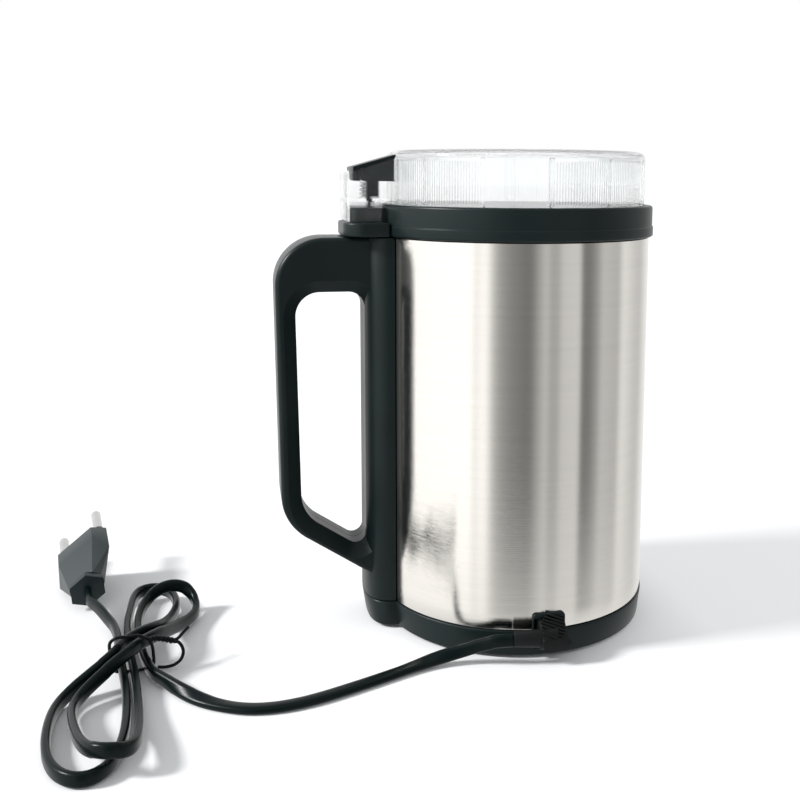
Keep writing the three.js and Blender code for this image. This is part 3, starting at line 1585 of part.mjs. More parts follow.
const group = new THREE.Group();
group.position.x = bodyX;
group.add(
  topRing(), grinderLid(), lidButton(), lidButtonSpring(), grindingBowl(), bowlGasket(), bowlSeal(),
  motorHousing(), lowerBracket(), motorShaft(), armature(), commutator(), coolingFan(), statorCore(),
  fieldCoil("field_coil_back", 0), fieldCoil("field_coil_front", Math.PI), bladePiece(), bladeNut(),
  bearing("upper_bearing", upperBearingTop), bearing("lower_bearing", lowerBearingBottom + bearingHeight),
  steelSleeve(), switchPin(), switchSpring(), microswitch(), switchWire(), baseRing(), bottomCover(),
  strainRelief(), cordClamp(), motorWire(), cord,
  ...bracketScrews(), ...brushSet(0), ...brushSet(1), ...handleShells(), ...handleScrews(),
  ...columnScrews(), ...feetAndScrews(),
);
export default group;
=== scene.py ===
import json
import math
import bpy
from mathutils import Matrix, Vector


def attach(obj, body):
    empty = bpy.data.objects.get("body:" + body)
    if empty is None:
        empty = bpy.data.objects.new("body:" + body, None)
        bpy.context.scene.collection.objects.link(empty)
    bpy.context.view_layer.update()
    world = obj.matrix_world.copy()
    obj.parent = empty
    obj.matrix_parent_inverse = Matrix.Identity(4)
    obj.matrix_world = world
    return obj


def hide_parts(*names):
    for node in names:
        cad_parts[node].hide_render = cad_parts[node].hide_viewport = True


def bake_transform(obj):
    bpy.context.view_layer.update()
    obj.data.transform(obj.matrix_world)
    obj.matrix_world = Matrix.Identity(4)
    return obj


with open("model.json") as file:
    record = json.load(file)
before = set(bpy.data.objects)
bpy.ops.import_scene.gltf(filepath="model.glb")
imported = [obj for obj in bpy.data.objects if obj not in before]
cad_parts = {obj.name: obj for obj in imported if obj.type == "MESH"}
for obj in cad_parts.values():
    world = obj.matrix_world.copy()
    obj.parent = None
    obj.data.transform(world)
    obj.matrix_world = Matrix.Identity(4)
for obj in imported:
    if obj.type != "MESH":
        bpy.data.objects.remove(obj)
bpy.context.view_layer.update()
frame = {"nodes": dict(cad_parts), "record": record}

# Electric food grinder. Lengths are given in millimetres from the motor's axis, with the handle
# towards +X and the cord's outlet towards +Y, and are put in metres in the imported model's frame.
MM = 0.001
AXIS_X = -19.9
GAP = 0.3

SLEEVE_RADIUS = 52.0
SLEEVE_WALL = 0.8
SLEEVE_LOW = 11.0
SLEEVE_TOP = 150.0
SLEEVE_INNER = SLEEVE_RADIUS - SLEEVE_WALL
STAND = 1.0
BASE_TOP = 10.7
RING_RADIUS = 53.5
RING_LOW = 150.3
RING_TOP = 162.0
LID_RADIUS = 50.0
LID_TOP = 182.0
LID_WALL = 2.0
LID_LOW = 158.0
HANDLE_REACH = 93.3
COLUMN_REACH = 60.5
COLUMN_HALF = 16.0
GRIP_HALF = 11.5
GRIP_THICKNESS = 7.6
OPENING_LOW = SLEEVE_LOW + 19.4
TONGUE_REACH = 68.0
TONGUE_HALF = 16.5
TONGUE_TOP = 155.5
BLOCK_TOP = 160.7
HOUSING_REACH = 66.8
HOUSING_HALF = 12.0
HOUSING_WALL = 1.2
POCKET_FLOOR = 164.2
STEM_X = 57.0
SCREW_ROOM = 1.9
CORD_WIDTH = 4.9
CORD_THICKNESS = 2.7
ROUND_STEPS = 224


def place(x, y, z):
    """A point of the object in the frame, in metres."""
    return Vector(((x + AXIS_X) * MM, y * MM, z * MM))


# Camera at the photograph's viewing angle


def photo_camera():
    right = Vector((-0.9728, 0.2317, 0))
    away = Vector((-0.2317, -0.9728, 0))
    up = Vector((0, 0, 1))
    pitch, roll = 0.129, 0.007
    forward = away * math.cos(pitch) - up * math.sin(pitch)
    over = away * math.sin(pitch) + up * math.cos(pitch)
    across = right * math.cos(roll) + over * math.sin(roll)
    over = over * math.cos(roll) - right * math.sin(roll)
    bpy.ops.object.camera_add()
    camera = bpy.context.object
    camera.name = "photo_camera"
    turn = Matrix((across, over, -forward)).transposed()
    camera.matrix_world = Matrix.Translation(place(106.58, 385.81, 172.911)) @ turn.to_4x4()
    # the view's middle and the focal length, in pixels of a square picture
    side, middle_x, middle_y, focal = 800, 477.543, 307.611, 1018.739
    camera.data.sensor_width = 36
    camera.data.lens = camera.data.sensor_width * focal / side
    camera.data.shift_x = (side / 2 - middle_x) / side
    camera.data.shift_y = (middle_y - side / 2) / side
    camera.data.clip_start = 0.01
    camera.data.clip_end = 50
    bpy.context.scene.camera = camera


photo_camera()

# Shader maths: a socket that takes part in sums


class Value:
    def __init__(self, tree, socket):
        self.tree = tree
        self.socket = socket

    def _math(self, operation, other, swap=False):
        inputs = [self, other]
        if swap:
            inputs.reverse()
        links = dict(enumerate(inputs))
        return self.tree.node("ShaderNodeMath", {"operation": operation}, links)

    def __add__(self, other):
        return self._math("ADD", other)

    def __radd__(self, other):
        return self._math("ADD", other, True)

    def __sub__(self, other):
        return self._math("SUBTRACT", other)

    def __mul__(self, other):
        return self._math("MULTIPLY", other)

    def __rmul__(self, other):
        return self._math("MULTIPLY", other, True)

    def __truediv__(self, other):
        return self._math("DIVIDE", other)

    def angle_from(self, other):
        return self._math("ARCTAN2", other)

    def clamped(self):
        links = {"Value": self, "Min": 0.0, "Max": 1.0}
        return self.tree.node("ShaderNodeClamp", {}, links)

    def beside(self, output):
        """Another output of the same node."""
        return Value(self.tree, self.socket.node.outputs[output])


class Tree:
    """A node tree whose nodes are added by one method."""

    def __init__(self, owner, output):
        owner.use_nodes = True
        self.nodes = owner.node_tree.nodes
        self.links = owner.node_tree.links
        self.output = self.nodes[output]

    def node(self, kind, settings, links, output=0):
        made = self.nodes.new(kind)
        for name, value in settings.items():
            if name == "stops":
                ramp = made.color_ramp
                ramp.elements.remove(ramp.elements[1])
                ramp.elements[0].position = value[0][0]
                ramp.elements[0].color = value[0][1]
                for position, shade in value[1:]:
                    ramp.elements.new(position).color = shade
            else:
                setattr(made, name, value)
        for key, value in links.items():
            if isinstance(value, Value):
                self.links.new(value.socket, made.inputs[key])
            elif value is not None:
                made.inputs[key].default_value = value
        return Value(self, made.outputs[output])

    def show(self, surface):
        self.links.new(surface.socket, self.output.inputs["Surface"])


class Finish(Tree):
    """A material built on the principled shader."""

    def __init__(self, name, color, roughness, metallic=0.0, **plain):
        self.material = bpy.data.materials.new(name)
        super().__init__(self.material, "Material Output")
        self.material.diffuse_color = (*color, 1)
        self.shader = self.nodes["Principled BSDF"]
        self.shader.inputs["Base Color"].default_value = (*color, 1)
        self.shader.inputs["Roughness"].default_value = roughness
        self.shader.inputs["Metallic"].default_value = metallic
        for socket, value in plain.items():
            self.shader.inputs[socket.replace("_", " ")].default_value = value
        self.points = self.node("ShaderNodeTexCoord", {}, {}, "Object")

    def at(self, scale=(1, 1, 1), points=None):
        """Object coordinates, or other ones, scaled."""
        links = {"Vector": points or self.points, "Scale": scale}
        return self.node("ShaderNodeMapping", {"vector_type": "POINT"}, links)

    def noise(self, scale, detail=2.0, roughness=0.5, where=None):
        links = {"Vector": where or self.at(), "Scale": scale, "Detail": detail, "Roughness": roughness}
        return self.node("ShaderNodeTexNoise", {}, links, "Fac")

    def between(self, low, high, share):
        """A number that goes from low to high with share."""
        return low + (high - low) * share.clamped()

    def blend(self, share, first, second):
        """A colour mixed from two."""
        links = {"Factor": share, 6: first, 7: second}
        return self.node("ShaderNodeMix", {"data_type": "RGBA"}, links, 2)

    def bump(self, height, distance, strength):
        links = {"Height": height, "Distance": distance, "Strength": strength}
        return self.node("ShaderNodeBump", {}, links)

    def feed(self, **sockets):
        for name, value in sockets.items():
            self.links.new(value.socket, self.shader.inputs[name.replace("_", " ")])
        return self.material


def moulded_plastic(name, color, roughness, grain=0.00003, **plain):
    """Satin moulded plastic: a fine mottle, faint cloudiness in the gloss and a little dust."""
    finish = Finish(name, color, roughness, **plain)
    cloud = finish.noise(28, 3)
    mottle = finish.noise(1400, 2)
    dust = (finish.noise(420, 3, 0.7) - 0.62) * 6
    pale = tuple(min(1, c * 1.5 + 0.0015) for c in color) + (1,)
    dark = tuple(c * 0.82 for c in color) + (1,)
    tone = finish.blend(cloud.clamped(), dark, pale)
    spread = finish.between(roughness - 0.05, roughness + 0.07, cloud)
    return finish.feed(
        Base_Color=tone,
        Roughness=spread + dust.clamped() * 0.05,
        Normal=finish.bump(mottle + cloud * 0.5, grain, 0.6),
    )


def brushed_steel(name, color, roughness):
    """Steel sheet with its grain running round the sleeve: streaks long round it and fine along it."""
    finish = Finish(name, color, roughness, 1.0)
    fine = finish.noise(60, 4, 0.7, finish.at((1, 1, 90)))
    coarse = finish.noise(9, 3, 0.6, finish.at((1, 1, 60)))
    cloud = finish.noise(12, 2)
    streak = (fine * 0.6 + coarse * 0.4).clamped()
    pale = tuple(min(1, c * 1.05) for c in color) + (1,)
    dark = tuple(c * 0.86 for c in color) + (1,)
    return finish.feed(
        Base_Color=finish.blend(streak, dark, pale),
        Roughness=finish.between(roughness - 0.02, roughness + 0.05, streak * 0.7 + cloud * 0.3),
        Normal=finish.bump(fine, 0.00003, 0.8),
    )


def turned_metal(name, color, roughness, metallic=1.0):
    """Bare or plated metal with faint tool marks and a little tarnish."""
    finish = Finish(name, color, roughness, metallic)
    marks = finish.noise(900, 3, 0.6, finish.at((1, 1, 6)))
    tarnish = finish.noise(160, 3)
    dark = tuple(c * 0.72 for c in color) + (1,)
    return finish.feed(
        Base_Color=finish.blend(tarnish.clamped(), dark, (*color, 1)),
        Roughness=finish.between(roughness - 0.06, roughness + 0.12, tarnish),
        Normal=finish.bump(marks, 0.00001, 0.4),
    )


def clear_plastic(name, tint, roughness):
    """Clear moulded plastic with faint flow lines."""
    finish = Finish(name, tint, roughness, IOR=1.49, Alpha=0.64, Transmission_Weight=1.0)
    flow = finish.noise(55, 2, 0.5, finish.at((1, 1, 0.25)))
    haze = finish.noise(240, 3)
    return finish.feed(
        Roughness=finish.between(roughness, roughness + 0.06, haze),
        Normal=finish.bump(flow, 0.00004, 0.25),
    )


def cord_sheath(name, color, roughness):
    """Extruded cable sheath: faint lines along it, carried by its own map."""
    finish = Finish(name, color, roughness, Specular_IOR_Level=0.14)
    lay = finish.node("ShaderNodeUVMap", {"uv_map": "lay"}, {})
    lines = finish.noise(3, 3, 0.6, finish.at((6, 130, 1), lay))
    cloud = finish.noise(60, 3)
    pale = tuple(c * 1.5 + 0.0005 for c in color) + (1,)
    return finish.feed(
        Base_Color=finish.blend(cloud.clamped(), (*color, 1), pale),
        Roughness=finish.between(roughness - 0.08, roughness + 0.1, lines),
        Normal=finish.bump(lines, 0.00002, 0.5),
    )


FINISHES = {
    "clear_plastic": clear_plastic("clear_lid_plastic", (0.97, 0.985, 0.985), 0.03),
    "black_plastic": moulded_plastic(
        "satin_black_plastic", (0.0045, 0.0092, 0.0095), 0.34, Specular_IOR_Level=0.2
    ),
    "plug_plastic": moulded_plastic(
        "soft_plug_plastic", (0.0105, 0.0185, 0.0205), 0.38, 0.00004, Specular_IOR_Level=0.25
    ),
    "cord_sheath": cord_sheath("black_cord_sheath", (0.0016, 0.0046, 0.0048), 0.26),
    "tie_wire": moulded_plastic(
        "coated_tie_wire", (0.0025, 0.0042, 0.0046), 0.32, Specular_IOR_Level=0.14
    ),
    "rubber": moulded_plastic(
        "matt_rubber", (0.0035, 0.0045, 0.0045), 0.42, 0.00006, Specular_IOR_Level=0.2
    ),
    "brushed_sleeve": brushed_steel("brushed_sleeve_steel", (0.93, 0.9, 0.845), 0.11),
    "bowl_steel": turned_metal("polished_bowl_steel", (0.72, 0.71, 0.69), 0.14),
    "spring_steel": turned_metal("bright_zinc_steel", (0.58, 0.58, 0.57), 0.26),
    "core_iron": turned_metal("stacked_core_iron", (0.16, 0.16, 0.17), 0.45, 0.8),
    "copper": turned_metal("enamelled_copper", (0.55, 0.23, 0.11), 0.28, 0.9),
    "brass": turned_metal("plain_brass", (0.66, 0.5, 0.2), 0.28),
    "carbon": moulded_plastic("pressed_carbon", (0.03, 0.03, 0.032), 0.6),
    "white_plastic": moulded_plastic("off_white_plastic", (0.72, 0.71, 0.67), 0.42),
    "wire_sheath": moulded_plastic("wire_insulation", (0.68, 0.68, 0.64), 0.4),
    "pin_nickel": turned_metal("nickel_pin", (0.6, 0.6, 0.59), 0.16),
}

# Modelling by hand


def deselect():
    if bpy.context.mode != "OBJECT":
        bpy.ops.object.mode_set(mode="OBJECT")
    bpy.ops.object.select_all(action="DESELECT")


def activate(piece):
    deselect()
    piece.select_set(True)
    bpy.context.view_layer.objects.active = piece


def trace(name, points, closed=True):
    """A wire traced point by point, its end put back on its start where it is closed."""
    deselect()
    bpy.ops.mesh.primitive_plane_add(size=MM, location=(0, 0, 0))
    piece = bpy.context.object
    piece.name = name
    piece.data.name = name
    bpy.ops.object.mode_set(mode="EDIT")
    bpy.ops.mesh.select_all(action="SELECT")
    bpy.ops.mesh.merge(type="CENTER")
    here = Vector(points[0])
    bpy.ops.transform.translate(value=here)
    for point in [*points[1:], points[0]] if closed else points[1:]:
        step = Vector(point) - here
        bpy.ops.mesh.extrude_vertices_move(TRANSFORM_OT_translate={"value": step})
        here = Vector(point)
    bpy.ops.mesh.select_all(action="SELECT")
    bpy.ops.mesh.remove_doubles(threshold=1e-7)
    return piece


def rounded(corners, steps=6):
    """Points of an outline whose corners are (x, y, radius)."""
    points = []
    for i, (x, y, *rest) in enumerate(corners):
        radius = rest[0] if rest else 0
        here = Vector((x, y))
        if not radius:
            points.append(here)
            continue
        back = (Vector(corners[i - 1][:2]) - here).normalized()
        ahead = (Vector(corners[(i + 1) % len(corners)][:2]) - here).normalized()
        half = math.acos(max(-1, min(1, back.dot(ahead)))) / 2
        centre = here + (back + ahead).normalized() * radius / math.sin(half)
        start = here + back * radius / math.tan(half) - centre
        turn = (math.pi - 2 * half) * math.copysign(1, ahead.x * back.y - ahead.y * back.x)
        for k in range(steps + 1):
            angle = turn * k / steps
            c, s = math.cos(angle), math.sin(angle)
            points.append(centre + Vector((start.x * c - start.y * s, start.x * s + start.y * c)))
    return points


def outward(piece):
    bpy.ops.mesh.select_all(action="SELECT")
    bpy.ops.mesh.normals_make_consistent(inside=False)
    bpy.ops.object.mode_set(mode="OBJECT")
    return piece


def raised(name, outline, low, high):
    """A plan outline raised from one height to another."""
    piece = trace(name, [place(x, y, low) for x, y in outline])
    bpy.ops.mesh.edge_face_add()
    bpy.ops.mesh.extrude_region_move(TRANSFORM_OT_translate={"value": (0, 0, (high - low) * MM)})
    return outward(piece)


def slab(name, outline, half):
    """A side outline in X and Z, thickened along Y to either side."""
    low, high = half if isinstance(half, tuple) else (-half, half)
    piece = trace(name, [place(x, low, z) for x, z in outline])
    bpy.ops.mesh.edge_face_add()
    bpy.ops.mesh.extrude_region_move(TRANSFORM_OT_translate={"value": (0, (high - low) * MM, 0)})
    return outward(piece)


def spun(name, profile, steps, closed=True):
    """A profile of (radius, height) spun round the motor's axis."""
    piece = trace(name, [place(r, 0, z) for r, z in profile], closed)
    bpy.ops.mesh.spin(steps=steps, angle=2 * math.pi, center=place(0, 0, 0), axis=(0, 0, 1))
    bpy.ops.mesh.select_all(action="SELECT")
    bpy.ops.mesh.remove_doubles(threshold=1e-7)
    return outward(piece)


def bar(name, x, y, z):
    """A plain block from its ranges, as a tool or a wall."""
    return raised(name, [(x[0], y[0]), (x[1], y[0]), (x[1], y[1]), (x[0], y[1])], *z)


def rod(name, radius, low, high, centre=(0, 0), sides=48):
    deselect()
    middle = place(*centre, (low + high) / 2)
    bpy.ops.mesh.primitive_cylinder_add(
        vertices=sides, radius=radius * MM, depth=(high - low) * MM, location=middle
    )
    piece = bpy.context.object
    piece.name = name
    bpy.ops.object.transform_apply()
    return piece


def turned(piece, degrees):
    """The piece turned round the motor's axis."""
    axis = Matrix.Translation(place(0, 0, 0))
    piece.data.transform(axis @ Matrix.Rotation(math.radians(degrees), 4, "Z") @ axis.inverted())


def combine(piece, tool, operation="DIFFERENCE"):
    """Joins a tool to a piece, or cuts it away."""
    activate(piece)
    bpy.ops.object.modifier_add(type="BOOLEAN")
    step = piece.modifiers[-1]
    step.operation = operation
    step.solver = "EXACT"
    step.object = tool
    bpy.ops.object.modifier_apply(modifier=step.name)
    bpy.data.objects.remove(tool)


def softened(piece, width, segments=2, angle=30):
    """Small round edges where faces meet at more than an angle."""
    activate(piece)
    bpy.ops.object.modifier_add(type="BEVEL")
    step = piece.modifiers[-1]
    step.width = width * MM
    step.segments = segments
    step.limit_method = "ANGLE"
    step.angle_limit = math.radians(angle)
    step.use_clamp_overlap = True
    bpy.ops.object.modifier_apply(modifier=step.name)
    return piece


def finished(piece, body, slot, *nodes, angle=32):
    """Smooth shading, the slot's finish, the body it rides on (if any) and the solids replaced."""
    activate(piece)
    bpy.ops.object.mode_set(mode="EDIT")
    bpy.ops.mesh.select_all(action="SELECT")
    bpy.ops.mesh.dissolve_degenerate(threshold=1e-7)
    bpy.ops.object.mode_set(mode="OBJECT")
    piece.data.materials.clear()
    piece.data.materials.append(FINISHES[slot])
    for face in piece.data.polygons:
        face.material_index = 0
    bpy.ops.object.shade_smooth_by_angle(angle=math.radians(angle))
    if body:
        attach(piece, body)
    if nodes:
        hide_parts(*nodes)
    return piece


def merged_copy(node, name):
    """A copy of a solid's mesh with its loose faces joined into flat ones."""
    source = frame["nodes"][node]
    piece = bpy.data.objects.new(name, source.data.copy())
    piece.data.name = name
    bpy.context.scene.collection.objects.link(piece)
    activate(piece)
    bpy.ops.object.mode_set(mode="EDIT")
    bpy.ops.mesh.select_all(action="SELECT")
    bpy.ops.mesh.remove_doubles(threshold=1e-6)
    bpy.ops.mesh.dissolve_limited(angle_limit=math.radians(1))
    bpy.ops.object.mode_set(mode="OBJECT")
    return piece


# Cord: outlet, lead, tied bow and tail, as the solids lie

FACE_Y = SLEEVE_RADIUS
LEAD = [
    (14, 2.96, 9.7), (19.6, 2.1, 9.5), (25.4, -0.2, 7.7), (31.6, -2, 5.4), (38.6, -2.6, 3.6),
    (46, -1.4, 2.3), (54.2, 1.6, 1.7), (63.5, 5.6, 1.6), (72.5, 9.4, 1.6), (81.1, 12.8, 1.6),
    (89.5, 15.3, 1.6), (97.6, 16.3, 1.6), (105.5, 15.4, 1.6), (113.3, 12, 1.6), (121.3, 6.4, 2),
    (128.2, -0.4, 2.9), (134, -7.6, 3.6), (136.8, -11.1, 3.85), (138.07, -13.72, 3.9),
]
TAIL = [
    (152.26, -43.3, 4.6), (154.34, -50.96, 4.8), (157.08, -56.57, 5.5), (159.75, -61.32, 6.6),
    (162.15, -65.58, 7.2), (165.2, -70.9, 7.5), (166.83, -77.9, 8.11),
]
# The bow's four loops, each from one point of the waist to the next, drawn out by waves along it
WAIST = [
    (138.2, -14, 3.9), (141.48, -20.92, 10.98), (145.2, -21.42, 4.6), (147.88, -20.58, 11),
    (152.2, -43, 4.6),
]
LOOP_WAVES = [
    (
        (-6.25, 10.35, 0.84, -1.35, 0.05, 0.08, 0.02, 0.11, -0.11, 0.16),
        (-51.93, -0.35, 1.7, 0.13, 0.85, -0.15, 0.15, -0.14, 0.23, 0.13),
        (-0.26, 2.55, -2.48, -0.54, 1.18, -0.11, 0.04, -0.07, 0.18, -0.02),
    ),
    (
        (6.65, 11.17, 0.92, -1.1, -0.32, -0.39, -0.43, -0.02, 0.02, 0.04),
        (58.47, -9.97, -4.61, 2.16, 1.13, 0.84, 0.31, -0.2, 0.18, 0.02),
        (-1.16, -1.59, -1.86, 1.13, 0.78, 0.41, 0.25, 0.19, 0.14, -0.09),
    ),
    (
        (-7.2, 8.71, 0.56, -0.96, -0.19, 0.22, 0.14, -0.08, 0.02, -0.23),
        (-56.73, -7.54, 4.65, 0.22, 0.43, 0.03, -0.26, -0.2, -0.25, 0.14),
        (-3.1, 0.91, 0.18, -0.84, 0.63, -0.28, 0.11, 0, -0.05, 0.06),
    ),
    (
        (5.01, 12.23, 1.35, -1.72, -0.61, -0.44, -0.44, -0.46, -0.27, -0.17),
        (69.53, -7.22, -8.14, 0.16, 1.42, 0.38, 0.64, 0.2, 0.11, 0.2),
        (-5.62, -1.48, -0.65, -0.14, 0.42, 0.24, 0.5, 0.24, 0.24, 0.15),
    ),
]
FLOOR_LAYER = 2.95


def loop_point(loop, share):
    spot = []
    for axis in range(3):
        value = WAIST[loop][axis] + (WAIST[loop + 1][axis] - WAIST[loop][axis]) * share
        for k, wave in enumerate(LOOP_WAVES[loop][axis]):
            value += wave * math.sin((k + 1) * math.pi * share)
        spot.append(value)
    return Vector((spot[0], spot[1], max(spot[2], FLOOR_LAYER)))


def bow_points(steps=30):
    points = [Vector(WAIST[0])]
    for loop in range(len(LOOP_WAVES)):
        points += [loop_point(loop, k / steps) for k in range(1, steps + 1)]
    return points


def smooth_line(points, pieces):
    """A centripetal curve through points, as the solids' own curves are."""
    ends = [points[0] * 2 - points[1], *points, points[-1] * 2 - points[-2]]
    line = []
    for i in range(1, len(ends) - 2):
        p = ends[i - 1 : i + 3]
        d = [max((p[k + 1] - p[k]).length ** 0.5, 1e-4) for k in range(3)]
        m1 = ((p[1] - p[0]) / d[0] - (p[2] - p[0]) / (d[0] + d[1]) + (p[2] - p[1]) / d[1]) * d[1]
        m2 = ((p[2] - p[1]) / d[1] - (p[3] - p[1]) / (d[1] + d[2]) + (p[3] - p[2]) / d[2]) * d[1]
        for k in range(pieces):
            t = k / pieces
            line.append(
                p[1] * (2 * t**3 - 3 * t**2 + 1)
                + m1 * (t**3 - 2 * t**2 + t)
                + p[2] * (3 * t**2 - 2 * t**3)
                + m2 * (t**3 - t**2)
            )
    return [*line, points[-1].copy()]


def spaced(line, count):
    """The line's points again, evenly apart."""
    runs = [0.0]
    for a, b in zip(line, line[1:]):
        runs.append(runs[-1] + (b - a).length)
    result, k = [], 0
    for i in range(count):
        goal = runs[-1] * i / (count - 1)
        while k < len(runs) - 2 and runs[k + 1] < goal:
            k += 1
        step = runs[k + 1] - runs[k]
        result.append(line[k].lerp(line[k + 1], (goal - runs[k]) / step if step else 0))
    return result


def swept(name, line, sections):
    """A tube through the centres in line, with one section of (across, up) offsets at each."""
    sides = len(sections[0][2])
    points = []
    for centre, (across, up, section) in zip(line, sections):
        points += [centre + across * a + up * b for a, b in section]
    count = len(line)
    faces = [
        (start + k, start + (k + 1) % sides, start + sides + (k + 1) % sides, start + sides + k)
        for start in range(0, (count - 1) * sides, sides)
        for k in range(sides)
    ]
    faces.append(tuple(reversed(range(sides))))
    faces.append(tuple((count - 1) * sides + k for k in range(sides)))
    mesh = bpy.data.meshes.new(name)
    mesh.from_pydata(points, [], faces)
    lay = mesh.uv_layers.new(name="lay")
    rings = count - 1
    for face in mesh.polygons:
        for corner in face.loop_indices:
            vertex = mesh.loops[corner].vertex_index
            ring, k = divmod(vertex, sides)
            around = k / sides
            if face.index < rings * sides and face.index % sides == sides - 1 and k == 0:
                around = 1.0
            lay.data[corner].uv = (ring / rings, around)
    piece = bpy.data.objects.new(name, mesh)
    bpy.context.scene.collection.objects.link(piece)
    activate(piece)
    bpy.ops.object.mode_set(mode="EDIT")
    return outward(piece)


def racetrack(width, thickness, steps=6):
    """A flat cord's section as (across, up), its width upright."""
    half, flat = thickness / 2, (width - thickness) / 2
    section = []
    for end in (1, -1):
        for k in range(steps + 1):
            angle = math.pi * k / steps
            section.append((end * half * math.cos(angle), end * (flat + half * math.sin(angle))))
        section.append((-end * half, end * flat * 0.2))
    return [(a * MM, b * MM) for a, b in section]


def ease(x, low, high):
    x = max(0, min(1, (x - low) / (high - low)))
    return x * x * (3 - 2 * x)


LEAD_STEPS, BOW_STEPS, TAIL_STEPS = 189, 639, 43


def cord_line():
    """Centres and lay of the whole cord: 1 where its width lies flat, 0 where it stands upright."""
    lead = spaced(smooth_line([Vector(p) for p in LEAD], 8), LEAD_STEPS + 1)
    bow = spaced(smooth_line(bow_points(), 6), BOW_STEPS + 1)
    tail = spaced(smooth_line([Vector(p) for p in TAIL], 8), TAIL_STEPS + 1)
    line = lead[:-1] + bow[1:-1] + tail[1:]
    # upright out of the boot, flat along the table, upright again into the bow
    to_flat, to_upright = (0.1, 0.3), (0.72, 0.985)
    shares = [i / LEAD_STEPS for i in range(LEAD_STEPS)]
    lay = [ease(share, *to_flat) * (1 - ease(share, *to_upright)) for share in shares]
    lay += [0.0] * (len(line) - LEAD_STEPS)
    for _ in range(3):
        line = [line[0]] + [
            (line[i - 1] + line[i] * 2 + line[i + 1]) / 4 for i in range(1, len(line) - 1)
        ] + [line[-1]]
    # the section is slimmer than the solids' one, so it settles a little lower
    least, extra, near_table = 0.25, 0.2, 9
    drop = [least + extra * (1 - flat) if p.z < near_table else least for p, flat in zip(line, lay)]
    return [place(p.x, p.y + FACE_Y, p.z - fall) for p, fall in zip(line, drop)], lay


def cord():
    line, lay = cord_line()
    section = racetrack(CORD_WIDTH, CORD_THICKNESS)
    up = Vector((0, 0, 1))
    sections = []
    for i, flat in enumerate(lay):
        forward = (line[min(i + 1, len(line) - 1)] - line[max(i - 1, 0)]).normalized()
        across = up.cross(forward).normalized()
        rise = forward.cross(across)
        c, s = math.cos(flat * math.pi / 2), math.sin(flat * math.pi / 2)
        sections.append((across * c + rise * s, rise * c - across * s, section))
    piece = swept("power_cord", line, sections)
    length = sum((b - a).length for a, b in zip(line, line[1:]))
    finished(piece, "main", "cord_sheath", "cord_lead", "cord_hank", "cord_tail")
    return piece, line, length


power_cord, cord_centres, cord_length = cord()


def round_wire(name, points, radius, sides, pieces):
    """A round wire on a smooth line, with frames carried along it."""
    line = smooth_line([Vector(p) for p in points], pieces)
    line = [place(p.x, p.y, p.z) for p in line]
    angles = [2 * math.pi * k / sides for k in range(sides)]
    ring = [(radius * MM * math.cos(a), radius * MM * math.sin(a)) for a in angles]
    forward = (line[1] - line[0]).normalized()
    across = forward.orthogonal().normalized()
    sections = []
    for i in range(len(line)):
        ahead = (line[min(i + 1, len(line) - 1)] - line[max(i - 1, 0)]).normalized()
        across = (across - ahead * across.dot(ahead)).normalized()
        sections.append((across, ahead.cross(across), ring))
    return swept(name, line, sections)


# The tie: its lower end's curl, the twist, the ring round the waist and the short end
TIE_CURL = [
    (136.4, -20.7, 1.2), (134.7, -20.2, 1.2), (132.7, -19.7, 1.5), (130.4, -19.2, 2.4),
    (128.5, -19.3, 4), (127.7, -20.3, 6), (128.2, -21.3, 7.8), (129.5, -22, 9.2),
]
TIE_TWIST = [(130.9, -21.7, 9.8), (134.1, -21, 11.2), (136.4, -20.6, 11.9), (138.4, -19.1, 12.4)]
TIE_RING = [
    (140.1, -18.9, 13.2), (142.6, -17.8, 14.75), (146, -17.5, 14.75), (149.4, -17.5, 14.75),
    (151.6, -17.9, 13), (151.9, -18.8, 9.5), (151.8, -20.3, 4), (151, -20.6, 1.6),
    (149.3, -20.7, 0.8), (141, -20.7, 0.8), (138.9, -20.8, 0.95), (137.9, -20.9, 2.4),
    (137.8, -21, 6), (138.1, -20.6, 9.4),
]
TIE_END = [(129.7, -23, 10), (127.9, -25.2, 11), (126.2, -27.4, 12)]
TIE_STEPS = 24


def cord_tie():
    """One wire round the bow's waist: its two ends are twisted together, then one curls down."""
    axis = spaced(smooth_line([Vector(p) for p in TIE_TWIST], 8), TIE_STEPS + 1)
    turns, stand, radius = 3, 0.55, 0.58
    strands = []
    for phase in (0, math.pi):
        strand = []
        for k, centre in enumerate(axis):
            forward = (axis[min(k + 1, TIE_STEPS)] - axis[max(k - 1, 0)]).normalized()
            across = Vector((0, 0, 1)).cross(forward).normalized()
            angle = phase + 2 * math.pi * turns * k / TIE_STEPS
            offset = across * math.cos(angle) + forward.cross(across) * math.sin(angle)
            strand.append(centre + offset * stand)
        strands.append(strand)
    points = [*TIE_CURL, *strands[0], *TIE_RING, *reversed(strands[1]), *TIE_END]
    points = [Vector(p) + Vector((0, FACE_Y, 0)) for p in points]
    return round_wire("tie_wire", points, radius, 12, 4)


tie = finished(cord_tie(), "main", "tie_wire", "cord_tie")


# The plug's own frame: its collar at the origin and its pins along +Y
PLUG_STAND = (
    Matrix.Translation(place(166.88, FACE_Y - 78.19, 8.15))
    @ Matrix.Rotation(math.radians(-169.5), 4, "Z")
    @ Matrix.Rotation(math.radians(8.5), 4, "X")
    @ Matrix.Rotation(math.radians(-39.9), 4, "Y")
)


